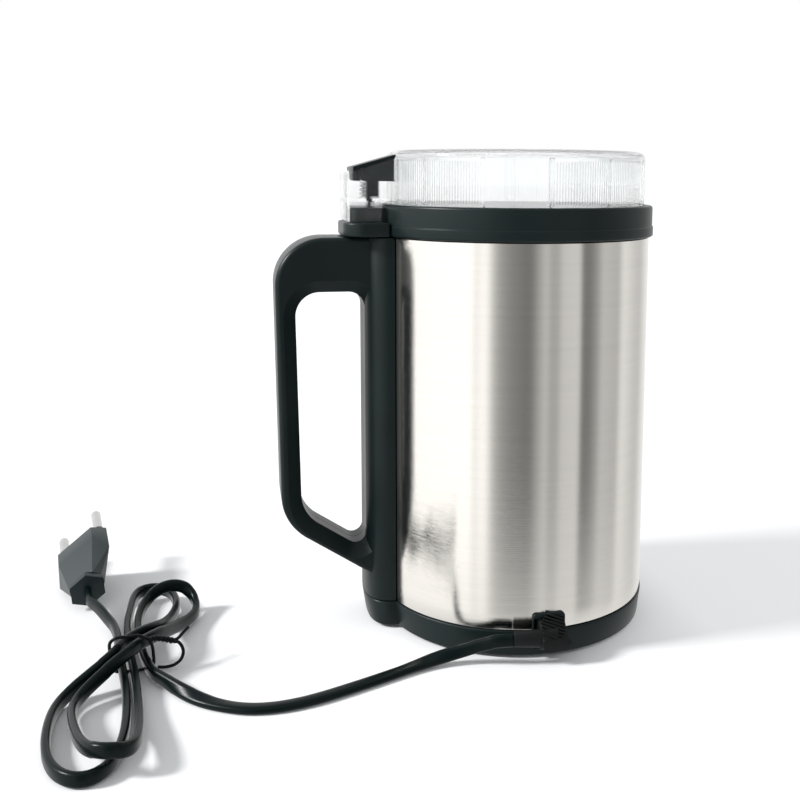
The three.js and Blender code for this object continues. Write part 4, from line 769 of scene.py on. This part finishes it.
def plug_pieces():
    """The plug's moulded body with its facets softened, and its two round-ended pins."""
    body = merged_copy("plug_body", "moulded_plug")
    collar_depth, neck_half = 3.2 * MM, 7.6 * MM
    across, thick = 0.92, 0.8
    for vertex in body.data.vertices:
        spot = PLUG_STAND.inverted() @ vertex.co
        if spot.y < collar_depth and math.hypot(spot.x, spot.z) > neck_half:
            vertex.co = PLUG_STAND @ Vector((spot.x * across, spot.y, spot.z * thick))
    softened(body, 0.6, 3, 14)
    pieces = [finished(body, "main", "plug_plastic", "plug_body", angle=40)]
    for side in ("right", "left"):
        pin = softened(merged_copy("plug_pin_" + side, "round_pin_" + side), 0.9, 4, 60)
        pieces.append(finished(pin, "main", "pin_nickel", "plug_pin_" + side, angle=40))
    return pieces


plug = plug_pieces()

place(13.7, 55, 9.7)

# Boot at the cord's outlet


def side_block(name, outline, x):
    """A side outline in Y and Z, thickened along X."""
    piece = trace(name, [place(x[0], y, z) for y, z in outline])
    bpy.ops.mesh.edge_face_add()
    bpy.ops.mesh.extrude_region_move(TRANSFORM_OT_translate={"value": ((x[1] - x[0]) * MM, 0, 0)})
    return outward(piece)


def cord_boot():
    """A rubber boot: flange inside the sleeve, sloping ribbed neck, elbow and tapered flat sheath."""
    half, low, high, inside = 5.3, 4.9, 15.3, 47.0
    bend, tip, tip_top = 54.6, 59.3, 10.4
    neck = side_block("cord_boot", rounded([
        (inside - 1, low), (inside - 1, high), (bend, high, 0.8), (tip, tip_top, 0.8), (tip, 7, 0.8),
        (54.9, low, 0.6),
    ], 4), (-half, half - 1))
    softened(neck, 0.4, 2, 50)
    elbow = slab("elbow", rounded([
        (half - 1, 10.6, 1), (-4.9, 10.6, 0.8), (-6.9, 8.7, 0.6), (-5.1, 6.2, 0.8), (half - 1, 6.9, 1),
    ], 3), (56.4, 59.6))
    softened(elbow, 0.35, 2, 50)
    combine(neck, elbow, "UNION")
    flange = half + 1.8
    combine(neck, bar("flange", (-flange, flange), (inside - 2.6, inside), (low, high)), "UNION")
    deselect()
    bpy.ops.mesh.primitive_cone_add(
        vertices=40, radius1=3.7 * MM, radius2=2.9 * MM, depth=16 * MM, location=(0, 0, 0)
    )
    sheath = bpy.context.object
    sheath.data.transform(
        Matrix.Translation(place(5.85, 56.1, 9.85))
        @ Matrix.Rotation(math.atan2(-2.2, 15.7), 4, "Z")
        @ Matrix.Diagonal((1, 0.62, 1, 1))
        @ Matrix.Rotation(math.pi / 2, 4, "Y")
    )
    softened(sheath, 0.4, 2, 50)
    combine(neck, sheath, "UNION")
    slope = math.atan2(tip_top - high, tip - bend)
    ribs, pitch = 7, 1.25
    for k in range(ribs):
        row = k - ribs // 2
        deselect()
        bpy.ops.mesh.primitive_cube_add(size=MM, location=(0, 0, 0))
        rib = bpy.context.object
        rib.data.transform(
            Matrix.Translation(place(-0.5, 56.2, 13.55))
            @ Matrix.Rotation(slope, 4, "X")
            @ Matrix.Rotation(math.radians(-24), 4, "Z")
            @ Matrix.Translation(((k % 2 - 0.5) * 0.2 * MM, row * pitch * MM, 0))
            @ Matrix.Diagonal((9.6 - abs(row), 0.62, 1.5, 1))
        )
        softened(rib, 0.15, 1, 50)
        combine(neck, rib, "UNION")
    bore = rod("bore", 1.2, -4, 4)
    bore.data.transform(
        Matrix.Translation(place(0, inside - 1, 10))
        @ Matrix.Rotation(math.pi / 2, 4, "X")
        @ Matrix.Translation(-place(0, 0, 0))
    )
    combine(neck, bore)
    return finished(neck, "main", "rubber", "strain_relief")


cord_boot()

# Sleeve, rings and base


def steel_sleeve():
    edge = 0.3
    # the rows at 17.4 and 18.2 keep the faces that the notch cuts off the wall above them
    profile = rounded([
        (SLEEVE_INNER, SLEEVE_LOW, 0.2), (SLEEVE_RADIUS, SLEEVE_LOW, edge),
        (SLEEVE_RADIUS, 17.4), (SLEEVE_RADIUS, 18.2), (SLEEVE_RADIUS, SLEEVE_TOP, edge),
        (SLEEVE_INNER, SLEEVE_TOP, 0.2),
    ], 3)
    piece = spun("brushed_sleeve", profile, ROUND_STEPS)
    notch = bar("notch", (-5.6, 5.6), (47, 56), (5, 15.9))
    combine(piece, notch)
    return finished(piece, "main", "brushed_sleeve", "steel_sleeve")


steel_sleeve()


def top_ring():
    shoulder = RING_RADIUS - 0.35
    skirt = SLEEVE_INNER - GAP
    profile = rounded([
        (skirt - 2, RING_LOW - 9), (skirt, RING_LOW - 9), (skirt, RING_LOW),
        (RING_RADIUS, RING_LOW, 0.8), (RING_RADIUS, RING_LOW + 3.7, 0.25),
        (shoulder, RING_LOW + 4, 0.2), (shoulder, RING_TOP, 1.0), (LID_RADIUS + GAP, RING_TOP, 0.4),
        (LID_RADIUS + GAP, RING_LOW + 4.5), (47.2, RING_LOW + 4.5, 0.3), (47.2, RING_LOW + 2.3),
        (skirt - 2, RING_LOW + 0.1),
    ], 4)
    piece = spun("top_ring_cover", profile, ROUND_STEPS)
    root = RING_RADIUS - 2
    tongue = raised("tongue", rounded([
        (root, -TONGUE_HALF), (TONGUE_REACH, -TONGUE_HALF, 8), (TONGUE_REACH, TONGUE_HALF, 8),
        (root, TONGUE_HALF),
    ], 14), RING_LOW, TONGUE_TOP)
    softened(tongue, 0.7, 3)
    half = HOUSING_HALF - 2.1
    block = raised("block", rounded([
        (root, -half), (TONGUE_REACH - 2.8, -half, 3), (TONGUE_REACH - 2.8, half, 3), (root, half),
    ], 8), TONGUE_TOP - 1, BLOCK_TOP)
    softened(block, 0.5, 3)
    combine(piece, tongue, "UNION")
    combine(piece, block, "UNION")
    combine(piece, rod("guide", 1.5, RING_LOW - 3, BLOCK_TOP + 3, (STEM_X, 0)))
    return finished(piece, "main", "black_plastic", "top_ring")


top_ring()


def column_outline(steps):
    """The handle's column seen from above: a superellipse that starts on the sleeve."""
    root = SLEEVE_RADIUS - COLUMN_HALF / 5
    power = 2 / 2.6
    points = []
    for k in range(steps + 1):
        angle = math.pi * (k / steps - 0.5)
        along = abs(math.cos(angle)) ** power
        across = math.copysign(abs(math.sin(angle)) ** power, math.sin(angle))
        points.append((root + (COLUMN_REACH - root) * along, COLUMN_HALF * across))
    return [*points, (SLEEVE_RADIUS / 2, COLUMN_HALF), (SLEEVE_RADIUS / 2, -COLUMN_HALF)]


def base_ring():
    top = SLEEVE_RADIUS + 0.4
    taper = 1.1
    inner = SLEEVE_INNER - 2.8
    profile = rounded([
        (top - taper, STAND, 0.5), (top, BASE_TOP, 0.5), (SLEEVE_INNER - GAP, BASE_TOP),
        (SLEEVE_INNER - GAP, BASE_TOP + 5.3, 0.3), (inner, BASE_TOP + 5.3, 0.3), (inner, 4),
        (49.9, 4), (49.9, STAND),
    ], 4)
    piece = spun("base_ring_cover", profile, ROUND_STEPS)
    foot = raised("foot", column_outline(40), STAND, BASE_TOP)
    activate(foot)
    bpy.ops.object.mode_set(mode="EDIT")
    bpy.ops.mesh.select_mode(type="VERT")
    bpy.ops.mesh.select_all(action="DESELECT")
    bpy.ops.object.mode_set(mode="OBJECT")
    for vertex in foot.data.vertices:
        low = vertex.co.z < (STAND + 0.5) * MM
        vertex.select = low and vertex.co.x > (SLEEVE_RADIUS + AXIS_X) * MM
    bpy.ops.object.mode_set(mode="EDIT")
    bpy.ops.transform.resize(value=(0.82, 1, 1), center_override=place(SLEEVE_RADIUS, 0, 0))
    bpy.ops.object.mode_set(mode="OBJECT")
    softened(foot, 0.8, 3, 50)
    combine(foot, rod("core", 50.2, STAND - 3, BASE_TOP + 3, sides=160))
    combine(piece, foot, "UNION")
    half, low, high = 6.1, 3.6, 17.3
    outlet = rounded([(-half, low, 0.6), (half, low, 0.6), (half, high, 1.6), (-half, high, 1.6)], 5)
    surround = slab("outlet_frame", outlet, (50.2, 52.9))
    softened(surround, 0.4, 2, 50)
    combine(surround, rod("room", SLEEVE_RADIUS + GAP, BASE_TOP, 22, sides=200))
    combine(piece, surround, "UNION")
    window = slab("window", [(-5.6, 4.6), (5.6, 4.6), (5.6, 15.6), (-5.6, 15.6)], (45, 57))
    combine(piece, window)
    ring, boss_low, boss_high = 42.8, 6.6, 13.7
    for angle in (45, 135, 225, 315):
        spot = ring * math.cos(math.radians(angle)), ring * math.sin(math.radians(angle))
        boss = rod("boss", 4.5, boss_low, boss_high, spot, 32)
        hole = rod("hole", SCREW_ROOM, 3, boss_high - 1, spot, 20)
        web = bar("web", (ring, 49.4), (-1.6, 1.6), (boss_low, boss_high))
        turned(web, angle)
        combine(boss, web, "UNION")
        combine(boss, hole)
        combine(piece, boss, "UNION")
    return finished(piece, "main", "black_plastic", "base_ring")


base_ring()

# Handle: loop with a flared opening, and the column


def bar_height(x, base):
    """The height at x of the loop's lower bar, which rises from its base towards the grip."""
    slope = 0.66
    return base + (x - COLUMN_REACH - 2) * slope


def loop_corners():
    low_x = HANDLE_REACH * 0.985
    root = SLEEVE_RADIUS - 3
    low_z = SLEEVE_LOW + 12
    return [
        (root, SLEEVE_TOP), (HANDLE_REACH, SLEEVE_TOP, 18), (low_x, bar_height(low_x, low_z), 20),
        (root, bar_height(root, low_z)),
    ]


def opening_corners(grow):
    back = HANDLE_REACH - GRIP_THICKNESS
    low_x = back - HANDLE_REACH * 0.015 + grow
    front = COLUMN_REACH - 0.5 - grow
    floor = OPENING_LOW - 1.2 * grow
    return [
        (front, SLEEVE_TOP - 20.5 + grow, 6 + grow), (back + grow, SLEEVE_TOP - 20.5 + grow, 9 + grow),
        (low_x, bar_height(low_x, floor), 14 + grow), (front, bar_height(front, floor), 4 + grow),
    ]


def funnel(side):
    """The flare of the opening on one side: widening from its edge to past the loop's face."""
    inner, outer = 6.5, 16.5
    # the opening grows by 4.7 mm for every 5 mm outwards
    grow = 4.7 * (outer - inner) / 5
    near = [place(x, side * inner, z) for x, z in rounded(opening_corners(0), 14)]
    far = [place(x, side * outer, z) for x, z in rounded(opening_corners(grow), 14)]
    piece = trace("funnel", near)
    bpy.ops.mesh.edge_face_add()
    bpy.ops.mesh.extrude_region_move(TRANSFORM_OT_translate={"value": (0, 0, 0)})
    bpy.ops.object.mode_set(mode="OBJECT")
    moved = [v for v in piece.data.vertices if v.select]
    for vertex in moved:
        index = min(range(len(near)), key=lambda i: (near[i] - vertex.co).length)
        vertex.co = far[index]
    bpy.ops.object.mode_set(mode="EDIT")
    return outward(piece)


def handle():
    loop = slab("handle_loop", rounded(loop_corners(), 18), GRIP_HALF)
    softened(loop, 1.8, 4, 50)
    combine(loop, slab("opening", rounded(opening_corners(0), 14), 20))
    for side in (1, -1):
        combine(loop, funnel(side))
    column = raised("column", column_outline(48), SLEEVE_LOW, SLEEVE_TOP)
    softened(column, 0.5, 2, 60)
    combine(column, slab("opening", rounded(opening_corners(0), 14), 20))
    combine(column, loop, "UNION")
    core = rod("core", SLEEVE_RADIUS + GAP, SLEEVE_LOW - 3, SLEEVE_TOP + 3, sides=ROUND_STEPS)
    combine(column, core)
    combine(column, bar("switch_room", (53.2, 59), (-7.2, 7.2), (26, 147.8)))
    combine(column, bar("wire_way", (51, 54.2), (-2.3, 2.3), (27.7, 37)))
    combine(column, rod("spring_well", 2.8, 134, 147.8, (STEM_X, 0), 32))
    combine(column, rod("pin_hole", 1.5, 140, 153, (STEM_X, 0), 32))
    low = bar_height(HANDLE_REACH, OPENING_LOW)
    combine(column, bar("grip_room", (87.9, 90.5), (-5.5, 5.5), (low, 127.3)))
    shank, head = (SCREW_ROOM, -16, 7), (3.3, -19, -6.7)
    for x, z in ((73.5, 140), (56.5, 18)):
        for radius, start, end in (shank, head):
            tool = rod("screw_room", radius, start, end, sides=32)
            turn = Matrix.Translation(place(x, 0, z)) @ Matrix.Rotation(-math.pi / 2, 4, "X")
            tool.data.transform(turn @ Matrix.Translation(-place(0, 0, 0)))
            combine(column, tool)
    for y, z in ((9.5, 40), (-9.5, 115)):
        tool = rod("screw_room", SCREW_ROOM, 47, 58, sides=24)
        turn = Matrix.Translation(place(0, y, z)) @ Matrix.Rotation(math.pi / 2, 4, "Y")
        tool.data.transform(turn @ Matrix.Translation(-place(0, 0, 0)))
        combine(column, tool)
    halves = (
        (1, "handle_back_cover", "handle_shell_back"),
        (-1, "handle_front_cover", "handle_shell_front"),
    )
    for side, name, node in halves:
        half = column.copy()
        half.data = column.data.copy()
        half.name = name
        half.data.name = name
        bpy.context.scene.collection.objects.link(half)
        activate(half)
        bpy.ops.object.mode_set(mode="EDIT")
        bpy.ops.mesh.select_all(action="SELECT")
        bpy.ops.mesh.bisect(
            plane_co=(0, side * GAP / 2 * MM, 0), plane_no=(0, side, 0), use_fill=True, clear_inner=True
        )
        bpy.ops.object.mode_set(mode="OBJECT")
        finished(half, "main", "black_plastic", node)
    bpy.data.objects.remove(column)


handle()

# Lid, press button and what shows through them


def button_top(x):
    low_x, high_x = HOUSING_REACH - HOUSING_WALL - 1.4, LID_RADIUS - 1.6
    low_z, high_z = 175.8, LID_TOP - 1.6
    return low_z + (high_z - low_z) * (x - low_x) / (high_x - low_x)


# twelve ribs on thirteen places: the button's housing takes the last
LID_RIBS = [34 + k * 360 / 13 for k in range(12)]


def lid():
    inner = LID_RADIUS - LID_WALL
    wall_low, wall_high, edge, flute_depth = 163.2, 177.6, 3, 0.3
    profile = [(0, LID_TOP)] + [
        (LID_RADIUS - edge + edge * math.cos(a), LID_TOP - edge + edge * math.sin(a))
        for a in (math.pi / 2 * k / 6 for k in range(6, -1, -1))
    ]
    profile += [
        (LID_RADIUS, LID_LOW), (inner, LID_LOW), (inner, wall_low - 0.5), (inner, wall_low),
        (inner, wall_high), (inner, wall_high + 0.5), (inner, LID_TOP - edge),
        (inner - 1.4, LID_TOP - 2), (0, LID_TOP - 2),
    ]
    flutes = 288
    piece = spun("clear_lid", profile, 2 * flutes, closed=False)
    activate(piece)
    bpy.ops.object.mode_set(mode="EDIT")
    bpy.ops.mesh.select_mode(type="VERT")
    bpy.ops.mesh.select_all(action="DESELECT")
    bpy.ops.object.mode_set(mode="OBJECT")
    axis = place(0, 0, 0)
    for vertex in piece.data.vertices:
        radius = math.hypot(vertex.co.x - axis.x, vertex.co.y)
        fluted = (wall_low - 0.1) * MM < vertex.co.z < (wall_high + 0.1) * MM
        turn = round(math.atan2(vertex.co.y, vertex.co.x - axis.x) / (math.pi / flutes))
        vertex.select = fluted and abs(radius - inner * MM) < 2e-5 and turn % 2 == 0
    bpy.ops.object.mode_set(mode="EDIT")
    share = (inner - flute_depth) / inner
    bpy.ops.transform.resize(value=(share, share, 1), center_override=axis)
    bpy.ops.object.mode_set(mode="OBJECT")
    slope_low, slope_high = button_top(HOUSING_REACH) - 2, button_top(LID_RADIUS) - 1.2
    root = LID_RADIUS - 2.8 - HOUSING_WALL
    floor = POCKET_FLOOR - HOUSING_WALL
    housing = slab("button_housing", rounded([
        (root, floor), (HOUSING_REACH, floor, 0.6), (HOUSING_REACH, slope_low, 0.8),
        (LID_RADIUS, slope_high), (root, slope_high),
    ], 4), HOUSING_HALF)
    softened(housing, 0.5, 2, 50)
    combine(piece, housing, "UNION")
    start, reach, side = RING_RADIUS + GAP, HOUSING_REACH - HOUSING_WALL, HOUSING_HALF - HOUSING_WALL
    skirt = bar(
        "skirt", (start, HOUSING_REACH), (-HOUSING_HALF, HOUSING_HALF),
        (TONGUE_TOP + GAP, POCKET_FLOOR - 0.6),
    )
    softened(skirt, 0.4, 2, 50)
    combine(piece, skirt, "UNION")
    combine(piece, bar("pocket", (LID_RADIUS - 2.8, reach), (-side, side), (POCKET_FLOOR, LID_TOP + 3)))
    combine(piece, bar("skirt_room", (start - 0.01, reach), (-side, side), (TONGUE_TOP - 3, floor)))
    combine(piece, bar("leg_slot", (53, 58.7), (-3.3, 3.3), (161, 166)))
    for angle in LID_RIBS:
        rib = bar("rib", (inner, LID_RADIUS + 0.4), (-0.8, 0.8), (RING_TOP + GAP, LID_TOP - 3))
        softened(rib, 0.25, 1, 50)
        turned(rib, angle)
        combine(piece, rib, "UNION")
    return finished(piece, "lid_group", "clear_plastic", "lid", angle=28)


lid()


def lid_button():
    piece = merged_copy("lid_button", "press_button")
    softened(piece, 0.25, 2, 40)
    return finished(piece, "button_group", "black_plastic", "lid_button")


lid_button()


def grinding_bowl():
    outer, wall, low, corner, hole = 46.7, 0.8, 102.1, 9, 9.5
    angles = [math.pi / 2 * (k / 10 - 1) for k in range(11)]
    middle, height = outer - corner, low + corner
    outside = [(middle + corner * math.cos(a), height + corner * math.sin(a)) for a in angles]
    inner = corner - wall
    inside = [(middle + inner * math.cos(a), height + inner * math.sin(a)) for a in reversed(angles)]
    rim = [
        (outer, 155.1), (49.6, 155.1), (50, 155.5), (49.6, 155.9), (outer - wall + 0.3, 155.9),
        (outer - wall, 155.5),
    ]
    profile = [(hole, low), *outside, *rim, *inside, (hole, low + wall)]
    return finished(spun("steel_bowl", profile, 160), "main", "bowl_steel", "grinding_bowl")


grinding_bowl()


def gasket_ring():
    inner, outer, low, high, edge = 46.3, 49.7, 156.2, 157.7, 0.4
    corners = [(inner, low, edge), (outer, low, edge), (outer, high, edge), (inner, high, edge)]
    return finished(spun("gasket_ring", rounded(corners, 4), 160), "main", "rubber", "bowl_gasket")


gasket_ring()


def squeezed_springs():
    """Copies of the two coil springs with their finish, left where they stand and not attached to
    anything.
    """
    for node, name, fixed, moving in (
        ("lid_button_spring", "button_spring", "lid_group", "button_group"),
        ("switch_spring", "pin_spring", "main", "pin_group"),
    ):
        piece = finished(merged_copy(node, name), None, "spring_steel", node, angle=60)
        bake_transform(piece)


squeezed_springs()

# The other solids keep their shapes and take their finishes
for entry in frame["record"]["subparts"]:
    node = frame["nodes"][entry["node"]]
    if node.hide_render:
        continue
    node.data.materials.clear()
    node.data.materials.append(FINISHES[entry["material_slot"]])

# Floor, light and background


# What the steel mirrors: cards and dark corners round the table, as (direction in degrees, tone)
ROOM_TONES = [
    (-180, 0.8), (-174, 0.73), (-164, 0.62), (-154, 0.58), (-142, 0.78), (-116, 1.0), (-60, 1.15),
    (40, 1.25), (44, 0.88), (48, 1.15), (53, 1.15), (57, 0.68), (61, 0.44), (66, 0.33), (73, 0.25),
    (86, 0.18), (90, 0.21), (95, 0.38), (101, 0.56), (106, 0.4), (111, 0.42), (115, 0.6), (130, 0.66),
    (133, 0.18), (140, 0.2), (147, 0.34), (153, 0.56), (171, 0.48), (176, 0.76), (180, 0.8),
]


def room_wall():
    deselect()
    bpy.ops.mesh.primitive_cylinder_add(
        vertices=128, radius=1.5, depth=3, end_fill_type="NOTHING", location=(AXIS_X * MM, 0, 0.3)
    )
    wall = bpy.context.object
    wall.name = "room_wall"
    finish = Finish("room_wall", (0, 0, 0), 1.0, Emission_Strength=1.0, Specular_IOR_Level=0.0)
    x = finish.node("ShaderNodeSeparateXYZ", {}, {"Vector": finish.at()}, "X")
    share = x.beside("Y").angle_from(x) / (2 * math.pi) + 0.5
    stops = [(angle / 360 + 0.5, (tone, tone, tone, 1)) for angle, tone in ROOM_TONES]
    tones = finish.node("ShaderNodeValToRGB", {"stops": stops}, {"Fac": share})
    # lower down the wall turns pale, as the table's far parts are
    start, end = -0.62, -1.32
    paler = ((x.beside("Z") - start) / (end - start)).clamped()
    finish.feed(Emission_Color=finish.blend(paler, tones, (0.8, 0.8, 0.8, 1)))
    wall.data.materials.append(finish.material)
    wall.visible_camera = False
    wall.visible_diffuse = False
    wall.visible_transmission = False
    wall.visible_shadow = False


def studio():
    scene = bpy.context.scene
    deselect()
    bpy.ops.mesh.primitive_plane_add(size=60, location=(0, 0, 0))
    floor = bpy.context.object
    floor.name = "pale_floor"
    pale = Finish("pale_floor", (0.86, 0.86, 0.86), 0.9, Specular_IOR_Level=0.0)
    smudge = pale.noise(3, 3)
    pale.feed(Base_Color=pale.blend(smudge.clamped(), (0.85, 0.855, 0.86, 1), (0.87, 0.87, 0.87, 1)))
    # past the grinder a white glow is painted into the floor to pale the object's shadow there
    side = pale.node("ShaderNodeSeparateXYZ", {}, {"Vector": pale.at()}, "X")
    painted_glow = pale.node("ShaderNodeEmission", {}, {"Color": (1, 1, 1, 1), "Strength": 1.0})
    start, end, most = -0.03, -0.09, 0.5
    share = ((side - start) / (end - start)).clamped() * most
    lit = Value(pale, pale.shader.outputs["BSDF"])
    pale.show(pale.node("ShaderNodeMixShader", {}, {0: share, 1: lit, 2: painted_glow}))
    floor.data.materials.append(pale.material)
    floor.visible_glossy = False
    room_wall()
    scene.world = bpy.data.worlds.new("pale_room")
    room = Tree(scene.world, "World Output")
    seen = room.node("ShaderNodeLightPath", {}, {}, "Is Camera Ray")
    either = {0: seen, 1: seen.beside("Is Transmission Ray")}
    backdrop_share = room.node("ShaderNodeMath", {"operation": "MAXIMUM"}, either)
    light = room.node("ShaderNodeBackground", {}, {"Color": (0.95, 0.975, 1, 1), "Strength": 0.72})
    backdrop = room.node("ShaderNodeBackground", {}, {"Color": (1, 1, 1, 1), "Strength": 1.0})
    room.show(room.node("ShaderNodeMixShader", {}, {0: backdrop_share, 1: light, 2: backdrop}))
    bpy.ops.object.light_add(type="SUN", location=(1, 0.4, 0.8))
    window = bpy.context.object
    window.name = "window_light"
    window.data.energy = 3.9
    window.data.angle = math.radians(11)
    window.rotation_euler = Vector((-0.83, 0.0, -0.55)).to_track_quat("-Z", "Y").to_euler()
    scene.view_settings.view_transform = "Standard"


studio()
